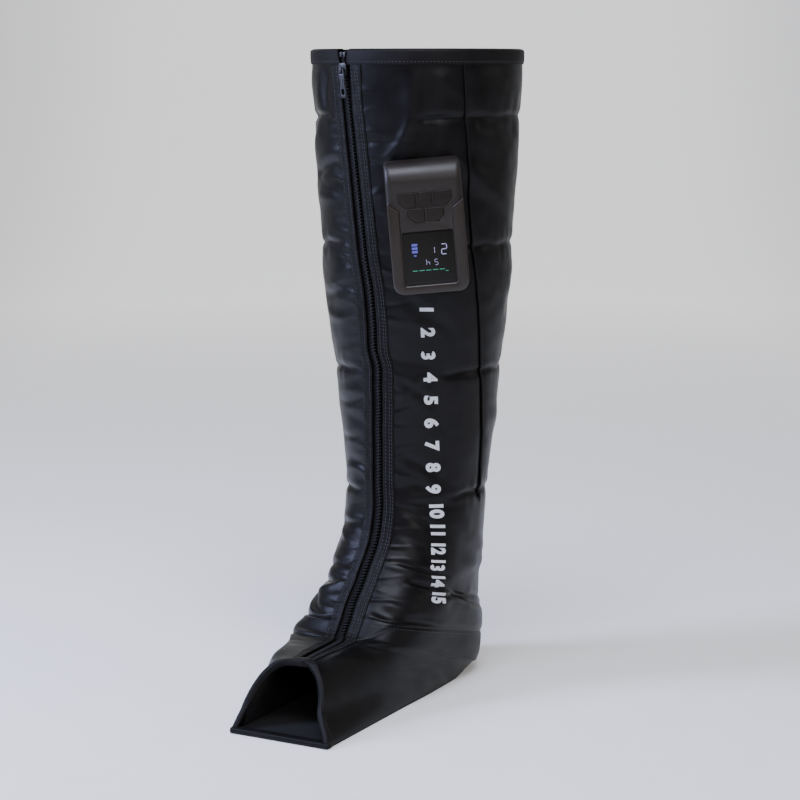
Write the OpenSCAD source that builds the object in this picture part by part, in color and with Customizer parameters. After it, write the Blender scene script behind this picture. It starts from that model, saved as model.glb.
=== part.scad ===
// Air compression sleeve for a left lower leg and foot, with its pump docked on the outer side.
// Millimetres. The leg's axis stands on X = 0, Y = 0, and the floor is Z = 0.
// +X is the outer side of the leg, -Y is the toe and +Z is up.

/* [Sleeve] */
// Height of the top rim above the floor
sleeve_h = 630; // [600:5:660]
// Width of the top rim across the leg
rim_w = 218; // [206:2:230]
// Depth of the top rim from front to back
rim_d = 200; // [190:2:210]
// Turn of the rim about the leg, towards the outer side
rim_turn = 17; // [12:1:20]
// Height of the upper calf section, where the straight upper part ends
calf_z = 430; // [410:5:440]
// Width of the upper calf section
calf_w = 191; // [182:1:200]
// Depth of the upper calf section
calf_d = 180; // [172:1:188]
// Turn of the upper calf section about the leg
calf_turn = 6; // [3:1:9]
// Height of the shin section
shin_z = 320; // [305:5:335]
// Width of the shin section
shin_w = 166; // [158:1:174]
// Depth of the shin section
shin_d = 164; // [156:1:172]
// Height of the lower shin section
low_z = 215; // [205:5:230]
// Width of the lower shin section
low_w = 141; // [134:1:148]
// Depth of the lower shin section
low_d = 148; // [141:1:155]
// Width of the ankle section
ankle_w = 132; // [126:1:138]

/* [Foot] */
// Width of the sole
sole_w = 104; // [98:1:110]
// Height of the instep
instep_h = 66; // [60:1:72]
// Reach of the sole's toe edge in front of the leg's axis
toe_reach = 270; // [255:5:285]
// Distance of the toe opening's upper edge behind its lower edge
toe_slope = 42; // [30:2:54]
// Reach of the heel behind the leg's axis
heel_reach = 68; // [64:1:72]
// Thickness of the sole
sole_t = 1.8; // [1.4:0.1:3]

/* [Cloth layers] */
// Thickness of the outer cloth
cloth_t = 1; // [0.8:0.1:1.2]
// Thickness of an air bladder at rest
bladder_t = 4.6; // [4.4:0.1:5.4]
// Thickness of the lining
lining_t = 0.8; // [0.6:0.1:1.2]
// Clearance between two layers of the wall
layer_gap = 0.4; // [0.4:0.05:0.6]
// Depth of a weld line between two air chambers
weld_depth = 2.4; // [1:0.2:3]
// Height of the binding round the top rim
hem_h = 12; // [8:1:16]
// Width of the binding round the toe opening
toe_hem_w = 8; // [6:1:10]
// Thickness of a binding
hem_t = 1; // [0.8:0.1:1.4]
// Diameter of the piping on the side seam
piping_d = 2.2; // [1.6:0.1:2.8]
// Distance of the side seam from the zipper
seam_s = 115; // [110:1:122]

/* [Zipper] */
// Half width of the slot in the cloth that shows the zipper
slot_half = 7; // [6.4:0.2:8]
// Width of the sewn facing beside the zipper on the outer side
facing_outer_w = 17; // [12:1:20]
// Width of the sewn facing beside the zipper on the inner side
facing_inner_w = 11; // [8:1:16]
// Half width of the gap between the two rows of teeth
teeth_gap = 0.6; // [0.5:0.05:0.9]
// Width of one row of teeth
teeth_w = 2.6; // [2.2:0.1:3]
// Height of the teeth above the cloth
teeth_rise = 1.2; // [0.8:0.1:1.4]
// Width of a zipper tape
tape_w = 14; // [12:0.5:15]
// Thickness of a zipper tape
tape_t = 0.8; // [0.6:0.1:1]
// Width of the slider
slider_w = 9.6; // [9:0.2:10.6]
// Length of the slider
slider_l = 13; // [11:0.5:15]
// Distance of the slider's middle below the rim
slider_drop = 17; // [15:1:24]
// Length of the pull tab
pull_l = 28; // [22:1:36]
// Diameter of the pull tab's pin
pull_pin_d = 2; // [1.6:0.1:2.2]

/* [Pump case] */
// Width of the pump case
case_w = 72; // [70:0.5:76]
// Height of the pump case
case_h = 125; // [123:1:135]
// Distance of the pump's middle below the rim
pump_drop = 162; // [156:1:166]
// Distance of the pump's middle from the zipper, round the sleeve
pump_s = 68; // [66:1:70]
// Wall of the pump case
wall = 2.2; // [1.8:0.1:2.6]
// Height of the rear shell
rear_d = 8; // [7:0.5:9]
// Height of the key face above the back of the case
face_z = 28; // [28:0.25:31]
// Thickness of the front face
face_t = 2; // [1.8:0.1:2.2]
// Radius of the curved hood at the top of the case
hood_r = 20; // [17:0.5:22]
// Height of the raised U frame above the key face
rim_rise = 2.2; // [1.4:0.1:3]
// Width of the raised U frame
rim_band = 11; // [10:0.25:12]
// Corner radius at the top of the case
corner_top = 5; // [4:0.5:8]
// Corner radius at the bottom of the case
corner_bottom = 11; // [9:0.5:13]
// Diameter of a case screw
screw_d = 2.6; // [2.2:0.1:3]
// Clearance between a key and its hole
key_gap = 0.35; // [0.25:0.05:0.45]
// Rise of a key above the face
key_rise = 0.6; // [0.4:0.1:1]
// Travel of a key
key_travel = 0.8; // [0.5:0.1:0.9]

/* [Pump works] */
// Diameter of a battery cell
cell_d = 18.4; // [18:0.1:18.6]
// Length of a battery cell
cell_l = 65; // [60:0.5:66]
// Diameter of the pump motor
motor_d = 18.5; // [16:0.5:18.5]
// Length of the pump motor
motor_l = 26; // [22:0.5:28]
// Diameter of the motor shaft
shaft_d = 2; // [1.5:0.1:2.4]
// Outer diameter of an air nozzle
nozzle_d = 5; // [4.6:0.1:5.4]
// Distance between two air nozzles
nozzle_pitch = 8.5; // [8.4:0.1:8.8]
// Thickness of the circuit board
board_t = 1.6; // [1.2:0.1:1.6]
// Outer diameter of an air hose
hose_d = 4; // [3.4:0.1:4.2]

/* [Dock] */
// Thickness of the dock plate
dock_t = 3; // [2.6:0.1:3.4]
// Width of the dock plate
dock_w = 52; // [48:1:56]
// Height of the dock plate
dock_h = 84; // [78:1:88]
// Least thickness of the saddle between the cloth and the dock plate
saddle_t = 1.5; // [1.3:0.1:2]

/* [Hidden] */
$fn = 48;

function unit(v) = v / norm(v);
function mix(a, b, f) = a + (b - a) * f;
function ramp(x, a, b) = let (f = min(1, max(0, (x - a) / (b - a)))) f * f * (3 - 2 * f);

// ---- The sleeve's outer face ----
// A place on it has two numbers: t runs down the sleeve from the rim to the toe, in hundreds of
// millimetres, and u runs round it, 0 on the zipper, 1 and -1 at the back seam or the sole's edges.

MM = 100;
sole_half = sole_w / 2;
ankle_z = low_z - 65;
T_CALF = (sleeve_h - calf_z) / MM;
T_SHIN = T_CALF + (calf_z - shin_z) / MM;
T_LOW = T_SHIN + (shin_z - low_z) / MM;
T_ANKLE = T_LOW + 0.65;
T_HEEL = T_ANKLE + 1.7;
T_TOE = T_HEEL + 2.8;

// Each section: t, centre x, front y, front z, back y, back z, half width, turn about the leg,
// half width where it stands on the sole, squareness, narrowing towards the top
SECTIONS = [
    [0, 0, -rim_d / 2, sleeve_h, rim_d / 2, sleeve_h, rim_w / 2, rim_turn, 0, 2, 0],
    [T_CALF, 0, -calf_d / 2, calf_z, calf_d / 2, calf_z, calf_w / 2, calf_turn, 0, 2, 0],
    [T_SHIN, 0, 3 - shin_d / 2, shin_z, 3 + shin_d / 2, shin_z, shin_w / 2, 3, 0, 2, 0],
    [T_LOW, 0, 3 - low_d / 2, low_z, 3 + low_d / 2, low_z, low_w / 2, 3, 0, 2.05, 0],
    [T_ANKLE, -1, -80, ankle_z + 10, heel_reach + 3, ankle_z - 10, ankle_w / 2, 1, 0, 2.2, 0],
    [T_ANKLE + 0.65, -3, -104, instep_h + 54, heel_reach - 2, 82, ankle_w / 2 - 1, 0, 0, 2.6, 0],
    [T_ANKLE + 1.2, -4, -132, instep_h + 22, heel_reach, 38, sole_half + 15, 0, 0, 3.2, 0],
    [T_ANKLE + 1.55, -4, -146, instep_h + 7, heel_reach - 4, 12, sole_half + 14, 0, 0, 3.5, 0],
    [T_HEEL, -4, -150, instep_h + 4.5, heel_reach - 11, sole_t, sole_half + 13, 0, 0, 3.5, 0],
    [T_HEEL + 0.1, -3, -152, instep_h + 4, heel_reach - 15, sole_t, sole_half + 11, 0, 19, 3.5, 0],
    [T_HEEL + 0.3, -2, -155, instep_h + 3, heel_reach - 28, sole_t, sole_half + 9, 0, 38, 3.5, 0.02],
    [T_HEEL + 0.8, -1, -163, instep_h + 2, -10, sole_t, sole_half + 5, 0, sole_half, 3.4, 0.05],
    [T_HEEL + 1.8, 0, -190, instep_h + 1, -130, sole_t, sole_half + 1.5, 0, sole_half, 3.2, 0.16],
    [T_TOE, 0, toe_slope - toe_reach, instep_h - 1, -toe_reach, sole_t, sole_half, 0, sole_half, 3.2, 0.25]
];
T = [for (r = SECTIONS) r[0]];
KNOTS = [for (r = SECTIONS)
    let (y = (r[2] - r[4]) / 2, z = (r[3] - r[5]) / 2, w = r[6], a = r[7])
    [r[1], (r[2] + r[4]) / 2, (r[3] + r[5]) / 2, y * sin(a), y * cos(a), z, w * cos(a), -w * sin(a), 0,
     r[8], r[9], r[10]]];
LAST = len(T) - 1;
SLOPES = [for (i = [0:LAST])
    let (a = i < 2 ? 0 : i == LAST ? LAST - 1 : i - 1, b = i < 2 ? 1 : i == LAST ? LAST : i + 1)
    (KNOTS[b] - KNOTS[a]) / (T[b] - T[a])];

// The section at t: the middle, the half depth, the half width, and the three shape numbers.
// The first stretch is straight, so the zipper's upper run is a straight line.
function section(t) =
    let (i = max(0, min(LAST - 1, len([for (x = T) if (x <= t) 1]) - 1)),
         h = T[i + 1] - T[i], s = (t - T[i]) / h, s2 = s * s, s3 = s2 * s)
    i == 0 ? mix(KNOTS[0], KNOTS[1], s)
           : KNOTS[i] * (2 * s3 - 3 * s2 + 1) + SLOPES[i] * (h * (s3 - 2 * s2 + s))
             + KNOTS[i + 1] * (3 * s2 - 2 * s3) + SLOPES[i + 1] * (h * (s3 - s2));

// The point at u on the section v
function on_section(v, u) =
    let (middle = [v[0], v[1], v[2]], depth = [v[3], v[4], v[5]], width = [v[6], v[7], v[8]], n = v[10],
         foot = min(1, max(0, v[9]) / norm(width)),
         end_c = -pow(1 - pow(foot, n), 1 / n),
         a = u * atan2(foot, end_c),
         r = pow(pow(abs(cos(a)), n) + pow(abs(sin(a)), n), -1 / n),
         q = (1 - r * cos(a)) / (1 - end_c))
    middle + depth * (1 - 2 * q) + width * (r * sin(a) * (1 - v[11] * (1 - q)));

// The foot's cloth stands out over its inner shoulder, and it leans in over the outer side of the toe
shoulder_out = 16;
toe_lean = 11;
function foot_form(t, u) =
    u < 0 ? [-shoulder_out * ramp(t, T_ANKLE + 0.8, T_HEEL + 0.5) * (1 - ramp(t, T_HEEL + 1.9, T_TOE + 0.1))
             * ramp(-u, 0.05, 0.35) * (1 - ramp(-u, 0.6, 0.98)), 0, 0]
          : [-toe_lean * ramp(t, T_TOE - 1.4, T_TOE) * ramp(u, 0, 0.4) * (1 - ramp(u, 0.7, 1)), 0, 0];
function place(v, t, u) = on_section(v, u) + foot_form(t, u);

STEP = 0.01;
// The point at t and u, and the direction that looks away from the leg there
function frame_at(t, u) =
    let (v = section(t), p = place(v, t, u),
         across = place(v, t, u + STEP) - place(v, t, u - STEP),
         down = place(section(t + STEP), t + STEP, u) - place(section(t - STEP), t - STEP, u))
    [[p[0], p[1], max(p[2], sole_t)], unit(cross(down, across))];

// Millimetres for one unit of u beside the zipper. It holds still above the pump, where the
// sleeve's lines are straight.
function pace(t) =
    let (v = section(max(t, T_PUMP)))
    norm(on_section(v, STEP) - on_section(v, -STEP)) / (2 * STEP);
T_PUMP = pump_drop / MM;

// The point at t, s millimetres round from the zipper and h millimetres above the face
function skin(t, s, h = 0) = let (f = frame_at(t, s / pace(t))) f[0] + f[1] * h;

// ---- The grid that every layer of the wall shares ----
// Where the cushioned leg part is sewn to the plain foot part
T_SEAM = T_ANKLE + 1.28;
LEG_ROWS = 49;
CHAMBER_ROWS = 10;
FIRST_WELD = 5;
CHAMBERS = 4;
function row_t(i) = i * T_SEAM / LEG_ROWS;
LEG_T = [for (i = [0:LEG_ROWS]) row_t(i)];
FOOT_T = concat([T_SEAM, T_SEAM + 0.12, T_SEAM + 0.27],
                [for (d = [0, 0.1, 0.2, 0.3, 0.52, 0.8, 1.3, 1.8, 2.3, 2.7, 2.8]) T_HEEL + d]);
ALL_T = concat([for (i = [0:LEG_ROWS - 1]) row_t(i)], FOOT_T);

WINDOW_HALF = 16;
BACK_COLS = 9;
MEDIAL_COLS = 10;
OUTER_S = [slot_half, slot_half + facing_outer_w, pump_s - 2 * WINDOW_HALF, pump_s - WINDOW_HALF,
           pump_s, pump_s + WINDOW_HALF, pump_s + 2 * WINDOW_HALF, seam_s];
OUTER_COLS = len(OUTER_S) - 1;

// On the foot the facings narrow, and the other columns draw together with them
function facing_end(t, w) = (slot_half + w * (1 - 0.5 * ramp(t, T_SEAM, T_TOE))) / pace(t);
function squeeze(us, t, w) =
    let (end = facing_end(t, w), old = us[1])
    [for (j = [0:len(us) - 1])
        j == 0 ? slot_half / pace(t) : end + (1 - end) * (us[j] - old) / (1 - old)];
function outer_leg_us(t) =
    let (p = pace(t), seam = seam_s / p)
    concat([for (s = OUTER_S) s / p], [for (k = [1:BACK_COLS]) mix(seam, 1, k / BACK_COLS)]);
outer_us = function (t) t <= T_SEAM ? outer_leg_us(t) : squeeze(outer_leg_us(T_SEAM), t, facing_outer_w);
function inner_leg_us(t) =
    let (p = pace(t), a = (slot_half + facing_inner_w) / p)
    concat([slot_half / p], [for (k = [0:MEDIAL_COLS]) mix(a, 1, k / MEDIAL_COLS)]);
inner_us = function (t) -1 * (t <= T_SEAM ? inner_leg_us(t) : squeeze(inner_leg_us(T_SEAM), t, facing_inner_w));
function backwards(v) = [for (i = [len(v) - 1:-1:0]) v[i]];

// How far the outer cloth is drawn in along the weld lines. They start where the air bladders do.
WELD_HALF = 0.08;
BLADDER_COL = OUTER_COLS - 2;
bladder_s = OUTER_S[BLADDER_COL] - 0.3;
weld = function (t, u)
    let (lines = [for (k = [0:CHAMBERS]) row_t(FIRST_WELD + k * CHAMBER_ROWS)],
         pull = max([for (w = lines) exp(-pow((t - w) / WELD_HALF, 2))]),
         start = u > 0 ? OUTER_S[BLADDER_COL] : slot_half + facing_inner_w)
    -weld_depth * pull * ramp(abs(u) * pace(t), start, start + WINDOW_HALF);

// Depths of the layers below the outer face
bladder_h = -cloth_t - layer_gap;
lining_h = bladder_h - bladder_t - 1.5 * layer_gap;
tape_h = -cloth_t - 1.5 * layer_gap;
foot_lining_h = tape_h - tape_t - layer_gap;
function lining_depth(t) = mix(lining_h, foot_lining_h, ramp(t, T_SEAM - 0.6, T_SEAM));

// A wall between two grids of points, with the cells left out for which skip(row, column) holds
module shell(outer, inner, skip = function (i, j) false) {
    rows = len(outer);
    cols = len(outer[0]);
    inside = rows * cols;
    kept = function (i, j) i >= 0 && j >= 0 && i < rows - 1 && j < cols - 1 && !skip(i, j);
    faces = [for (i = [0:rows - 2]) for (j = [0:cols - 2]) if (kept(i, j))
        let (a = i * cols + j, b = a + 1, d = a + cols, c = d + 1, e = a + inside, f = b + inside,
             g = c + inside, h = d + inside)
        each concat(
            [[a, b, c], [a, c, d], [e, g, f], [e, h, g]],
            kept(i - 1, j) ? [] : [[b, a, e], [b, e, f]],
            kept(i + 1, j) ? [] : [[d, c, h], [c, g, h]],
            kept(i, j - 1) ? [] : [[a, d, e], [d, h, e]],
            kept(i, j + 1) ? [] : [[c, b, f], [c, f, g]])];
    polyhedron(concat([for (r = outer) each r], [for (r = inner) each r]), faces);
}

// A layer of the wall: rows are values of t, us(t) gives the columns, high(t, u) and low(t, u) the depths
module layer(rows, us, high, low, skip = function (i, j) false) {
    frames = [for (t = rows) [for (u = us(t)) concat(frame_at(t, u), [high(t, u), low(t, u)])]];
    shell([for (r = frames) [for (f = r) f[0] + f[1] * f[2]]],
          [for (r = frames) [for (f = r) f[0] + f[1] * f[3]]], skip);
}
function part_of(v, a, b) = [for (i = [a:b]) v[i]];
function level(h) = function (t, u) h;

// A tube of a given radius along points of the wall; the second list holds the directions outwards
module tube(path, outward, r, sides) {
    last = len(path) - 1;
    rings = [for (i = [0:last])
        let (along = unit(path[min(last, i + 1)] - path[max(0, i - 1)]),
             side = unit(cross(along, outward[i])), up = cross(side, along))
        for (k = [0:sides - 1]) path[i] + r * (cos(360 * k / sides) * up + sin(360 * k / sides) * side)];
    faces = concat(
        [for (i = [0:last - 1]) for (k = [0:sides - 1])
            let (a = i * sides + k, b = i * sides + (k + 1) % sides)
            each [[a, a + sides, b + sides], [a, b + sides, b]]],
        [[for (k = [0:sides - 1]) k]],
        [[for (k = [sides - 1:-1:0]) last * sides + k]]);
    polyhedron(rings, faces);
}

// ---- Outer cloth ----
cloth = "#22232a";
cloth_low = function (t, u) weld(t, u) - cloth_t;
// The window behind the pump lets the hose manifold through, with room above and below it
manifold_w = 28;
manifold_h = 36;
manifold_y = 10;
manifold_room = 0.7;
window_room = 2;
T_MAN_TOP = T_PUMP - (manifold_y + manifold_h / 2 + manifold_room) / MM;
T_MAN_LOW = T_PUMP - (manifold_y - manifold_h / 2 - manifold_room) / MM;
WINDOW_TOP = floor((T_MAN_TOP - window_room / MM) / row_t(1));
WINDOW_LOW = ceil((T_MAN_LOW + window_room / MM) / row_t(1));
function in_window(i, j) = (j == 3 || j == 4) && i >= WINDOW_TOP && i < WINDOW_LOW;

module lateral_panel() color(cloth)
    layer(LEG_T, function (t) part_of(outer_us(t), 0, OUTER_COLS), weld, cloth_low,
          function (i, j) in_window(i, j));
module back_panel() color(cloth)
    layer(LEG_T, function (t) part_of(outer_us(t), OUTER_COLS, OUTER_COLS + BACK_COLS), weld, cloth_low);
module medial_panel() color(cloth)
    layer(LEG_T, function (t) backwards(inner_us(t)), weld, cloth_low);
module foot_panel_lateral() color("#1b1c21")
    layer(FOOT_T, outer_us, level(0), level(-cloth_t));
module foot_panel_medial() color("#1b1c21")
    layer(FOOT_T, function (t) backwards(inner_us(t)), level(0), level(-cloth_t));

// The sole follows the lower edges of the foot panels
SOLE_T = [for (t = FOOT_T) if (t >= T_HEEL) t];
function sole_outline(inset = 0, front = 0) =
    let (edge = [for (t = SOLE_T) frame_at(t, 1)[0]], other = [for (t = backwards(SOLE_T)) frame_at(t, -1)[0]])
    [for (p = concat(edge, other))
        [p[0] - sign(p[0]) * min(abs(p[0]), inset), max(p[1] - (p[1] > 0 ? inset : 0), front - toe_reach)]];
module sole_panel() color("#17181b")
    linear_extrude(sole_t) polygon(sole_outline());
module insole() color("#2a2b30")
    translate([0, 0, sole_t + 0.1]) linear_extrude(lining_t + 1)
        polygon(sole_outline(lining_t - foot_lining_h + layer_gap, toe_hem_w + 4));

// Lining, in two halves that meet at the back
FINE_ROWS = 15;
LINING_ROWS = [for (i = [0, 1, each [3:4:LEG_ROWS - FINE_ROWS - 2], each [LEG_ROWS - FINE_ROWS:2:LEG_ROWS - 1],
                         LEG_ROWS]) row_t(i)];
module leg_lining() color("#2a2b30")
    for (us = [outer_us, function (t) backwards(inner_us(t))])
        layer(LINING_ROWS, us, function (t, u) lining_depth(t), function (t, u) lining_depth(t) - lining_t);
// The foot lining ends a little above the sole
lifted = function (us, t)
    let (most = 1 - 0.03 * ramp(t, T_HEEL - 0.3, T_HEEL)) [for (u = us) sign(u) * min(abs(u), most)];
module foot_lining() color("#2a2b30") {
    rows = [for (t = FOOT_T) min(t, T_TOE - STEP)];
    for (us = [outer_us, function (t) backwards(inner_us(t))])
        layer(rows, function (t) lifted(us(t), t), level(foot_lining_h), level(foot_lining_h - lining_t));
}

// Bindings: a strip folded over an edge, from the outer face to the lining
function rim_fold(us, high, low, edge) =
    [for (p = [[hem_h / MM, high], [-edge, high], [-edge, low], [hem_h / MM, low]])
        [for (u = us) let (f = frame_at(p[0], u)) f[0] + f[1] * p[1]]];
rim_over = 0.1 / MM;
module top_hem() color("#191a1f") {
    inner_h = lining_h - lining_t - 0.1;
    for (us = [outer_us(0), backwards(inner_us(0))])
        shell(rim_fold(us, hem_t + 0.1, inner_h - hem_t, hem_t / MM + rim_over),
              rim_fold(us, 0.1, inner_h, rim_over));
}
function toe_fold(us, high, low, edge) =
    let (back = function (u) toe_hem_w / norm(frame_at(T_TOE, u)[0] - frame_at(T_TOE - STEP, u)[0]) * STEP)
    [for (k = [0:3])
        [for (u = us)
            let (t = k == 0 || k == 3 ? T_TOE - back(u) : T_TOE + edge * back(u) / toe_hem_w,
                 f = frame_at(t, u), p = f[0] + f[1] * (k < 2 ? high : low))
            [p[0], p[1], max(p[2], sole_t + 0.05)]]];
toe_hem_room = 0.5;
module toe_hem() color("#191a1f") {
    inner_h = foot_lining_h - lining_t - toe_hem_room;
    for (us = [lifted(outer_us(T_TOE), T_TOE), lifted(backwards(inner_us(T_TOE)), T_TOE)])
        shell(toe_fold(us, hem_t + 0.1, inner_h - hem_t, hem_t + 0.1), toe_fold(us, 0.1, inner_h, 0.1));
    // The sole's front edge is bound from above
    translate([toe_hem_w - sole_half, -toe_reach, sole_t])
        cube([sole_w - 2 * toe_hem_w, toe_hem_w, hem_t]);
}
module seam_piping() color("#101114") {
    places = [for (i = [1:36]) let (t = row_t(i), u = seam_s / pace(t)) [frame_at(t, u), weld(t, u)]];
    tube([for (p = places) p[0][0] + p[0][1] * (p[1] + piping_d / 2 + 0.1)], [for (p = places) p[0][1]],
         piping_d / 2, 6);
}

// ---- Zipper ----
ZIP_T = concat([for (t = ALL_T) if (t < T_TOE - 0.2) t], [T_TOE - 0.14]);
function strip_us(a, b) = function (t) [a / pace(t), b / pace(t)];
HEM_T = hem_h / MM + 0.01;
FACING_T = concat([HEM_T], [for (t = ALL_T) if (t > HEM_T && t < T_TOE - 0.2) t]);
module zip_facing_lateral() color("#16171b")
    layer(FACING_T, function (t) part_of(outer_us(t), 0, 1), level(0.9), level(0));
module zip_facing_medial() color("#16171b")
    layer(FACING_T, function (t) backwards(part_of(inner_us(t), 0, 1)), level(0.9), level(0));
module tape(side) {
    ends = [side * (teeth_gap + 0.4), side * slot_half, side * (teeth_gap + 0.4 + tape_w)];
    layer(ZIP_T, function (t) (side > 0 ? ends : backwards(ends)) / pace(t),
          level(tape_h), level(tape_h - tape_t));
}
module zipper_tape_lateral() color("#0e0f12") tape(1);
module zipper_tape_medial() color("#0e0f12") tape(-1);
stop_l = 4.5;
TEETH_T = concat([(stop_l + 1) / MM], [for (t = ZIP_T) if (t > 0.1) t]);
// One side of the chain: a strip from the gap in the middle to w beyond it
function chain_us(side, w) =
    side > 0 ? strip_us(teeth_gap, teeth_gap + w) : strip_us(-teeth_gap - w, -teeth_gap);
module teeth(side)
    layer(TEETH_T, chain_us(side, teeth_w), level(teeth_rise), level(tape_h + 0.1));
module zipper_teeth_lateral() color("#2c2d31") teeth(1);
module zipper_teeth_medial() color("#2c2d31") teeth(-1);
module zipper_stops() color("#3a3b40") {
    rows = [0.5 / MM, (stop_l + 0.5) / MM];
    for (side = [-1, 1])
        layer(rows, chain_us(side, teeth_w + 0.3), level(teeth_rise + 0.3), level(tape_h + 0.1));
    layer([T_TOE - 0.12, T_TOE - 0.05], strip_us(-teeth_gap - teeth_w, teeth_gap + teeth_w),
          level(teeth_rise + 0.2), level(tape_h + 0.1));
}

// The slider's own axes: X across the zipper, Y up its straight run, Z away from the leg
zip_up = unit(frame_at(0, 0)[0] - frame_at(T_CALF, 0)[0]);
zip_out = let (n = frame_at(T_CALF / 2, 0)[1]) unit(n - zip_up * (n * zip_up));
zip_across = cross(zip_up, zip_out);
zip_at = frame_at(slider_drop / MM, 0)[0];
module on_zip(x = zip_across, y = zip_up, z = zip_out, o = zip_at)
    multmatrix([[x[0], y[0], z[0], o[0]], [x[1], y[1], z[1], o[1]], [x[2], y[2], z[2], o[2]], [0, 0, 0, 1]])
        children();
module block(size, at) translate(at - [size[0] / 2, size[1] / 2, 0]) cube(size);
module bar(d, l, at, axis = [1, 0, 0], fn = 48)
    translate(at) rotate(axis[0] == 1 ? [0, 90, 0] : axis[1] == 1 ? [-90, 0, 0] : [0, 0, 0])
        cylinder(d = d, h = l, $fn = fn);

slider_top = teeth_rise + 0.8;
plate_t = 1.5;
slider_low = tape_h - tape_t - 1.1;
bridge_w = 2.2;
bridge_l = 4.6;
pin_z = slider_top + plate_t + 1.7;
bridge_h = 1.7 + pull_pin_d / 2 + 0.8;
pin_fit = 0.06;
module zip_slider() color("#2f3034") on_zip() {
    block([slider_w, slider_l, plate_t], [0, 0, slider_top]);
    block([slider_w, slider_l, plate_t], [0, 0, slider_low - plate_t]);
    block([teeth_gap, slider_l * 0.6, slider_top - slider_low], [0, slider_l * 0.15, slider_low]);
    difference() {
        block([bridge_w, bridge_l, bridge_h], [0, 0, slider_top + plate_t]);
        bar(pull_pin_d + 2 * pin_fit, bridge_w + 2, [-bridge_w / 2 - 1, 0, pin_z]);
    }
}
pull_t = 1.3;
pull_w = 7;
fork_in = bridge_w + 0.8;
module zip_pull() color("#2f3034") on_zip() {
    reach = bridge_l / 2 + 1.4;
    difference() {
        union() {
            block([pull_w, pull_l - 3, pull_t], [0, 1.2 - (pull_l - 3) / 2, pin_z - pull_t / 2]);
            translate([0, 1.2 - (pull_l - 3), pin_z - pull_t / 2]) cylinder(d = pull_w, h = pull_t);
        }
        block([fork_in, reach + 2, pull_t + 2], [0, 2 - (reach + 2) / 2, pin_z - pull_t / 2 - 1]);
        translate([0, 1.2 - (pull_l - 3), pin_z - pull_t]) cylinder(d = 3, h = 2 * pull_t);
    }
    bar(pull_pin_d, fork_in + 2, [-fork_in / 2 - 1, 0, pin_z]);
}

// ---- Bladders and hoses ----
bladder_us = function (t) concat([for (j = [BLADDER_COL:OUTER_COLS + BACK_COLS]) outer_us(t)[j]],
                                [for (j = [MEDIAL_COLS:-1:2]) 2 + inner_us(t)[j]]);
function bladder_rows(k) = [for (i = [1:2:CHAMBER_ROWS - 1]) row_t(FIRST_WELD + k * CHAMBER_ROWS + i)];
module bladder(k) color("#6f7683")
    layer(bladder_rows(k), bladder_us, level(bladder_h), level(bladder_h - bladder_t));
module bladder_top() bladder(0);
module bladder_upper_calf() bladder(1);
module bladder_calf() bladder(2);
module bladder_ankle() bladder(3);

// A hose leaves the manifold at t = from, runs along the sleeve s from the zipper and turns into a bladder
hose_h = bladder_h - bladder_t / 2;
bend_r = 9;
module hose(from, s, to) color("#8a919c") {
    dir = to > from ? 1 : -1;
    r = bend_r / MM;
    steps = ceil(abs(to - from) * MM / (2.8 * hose_d));
    run = [for (k = [0:steps]) [mix(from, to - dir * r, k / steps), s]];
    turn = [for (a = [22.5:22.5:90]) [to - dir * r * (1 - sin(a)), s + bend_r * (1 - cos(a))]];
    route = concat(run, turn, [[to, bladder_s]]);
    places = [for (p = route) frame_at(p[0], p[1] / pace(p[0]))];
    tube([for (f = places) f[0] + f[1] * hose_h], [for (f = places) f[1]], hose_d / 2, 8);
}
hose_first = -9;
hose_step = 5.2;
function hose_s(k) = pump_s + hose_first + k * hose_step;
function chamber_t(k, row) = row_t(FIRST_WELD + k * CHAMBER_ROWS + row);
module hose_top() hose(T_MAN_TOP, hose_s(2), T_MAN_TOP - 0.16);
module hose_upper_calf() hose(T_MAN_LOW, hose_s(2), chamber_t(1, 4));
module hose_calf() hose(T_MAN_LOW, hose_s(1), chamber_t(2, 4));
module hose_ankle() hose(T_MAN_LOW, hose_s(0), chamber_t(3, 3));

// ---- The pump's own axes: X to the right, Y up, Z away from the leg, and 0 at the back of its case ----
stand_off = saddle_t + dock_t + 0.3;
pump_skin = frame_at(T_PUMP, pump_s / pace(T_PUMP));
pump_up = let (u = pump_s / pace(T_PUMP)) unit(frame_at(T_PUMP - STEP, u)[0] - frame_at(T_PUMP + STEP, u)[0]);
pump_out = unit(pump_skin[1] - pump_up * (pump_skin[1] * pump_up));
pump_right = cross(pump_up, pump_out);
pump_at = pump_skin[0] + pump_out * stand_off;
module on_pump() on_zip(pump_right, pump_up, pump_out, pump_at) children();
function flat_on_pump(p, z) = p + pump_out * (z - (p - pump_at) * pump_out);
echo(zip_at = zip_at, zip_up = zip_up, zip_out = zip_out, zip_across = zip_across, pin_z = pin_z);
echo(pump_at = pump_at, pump_right = pump_right, pump_up = pump_up, pump_out = pump_out);
echo(motor_y = motor_y, motor_z = motor_z);

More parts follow.
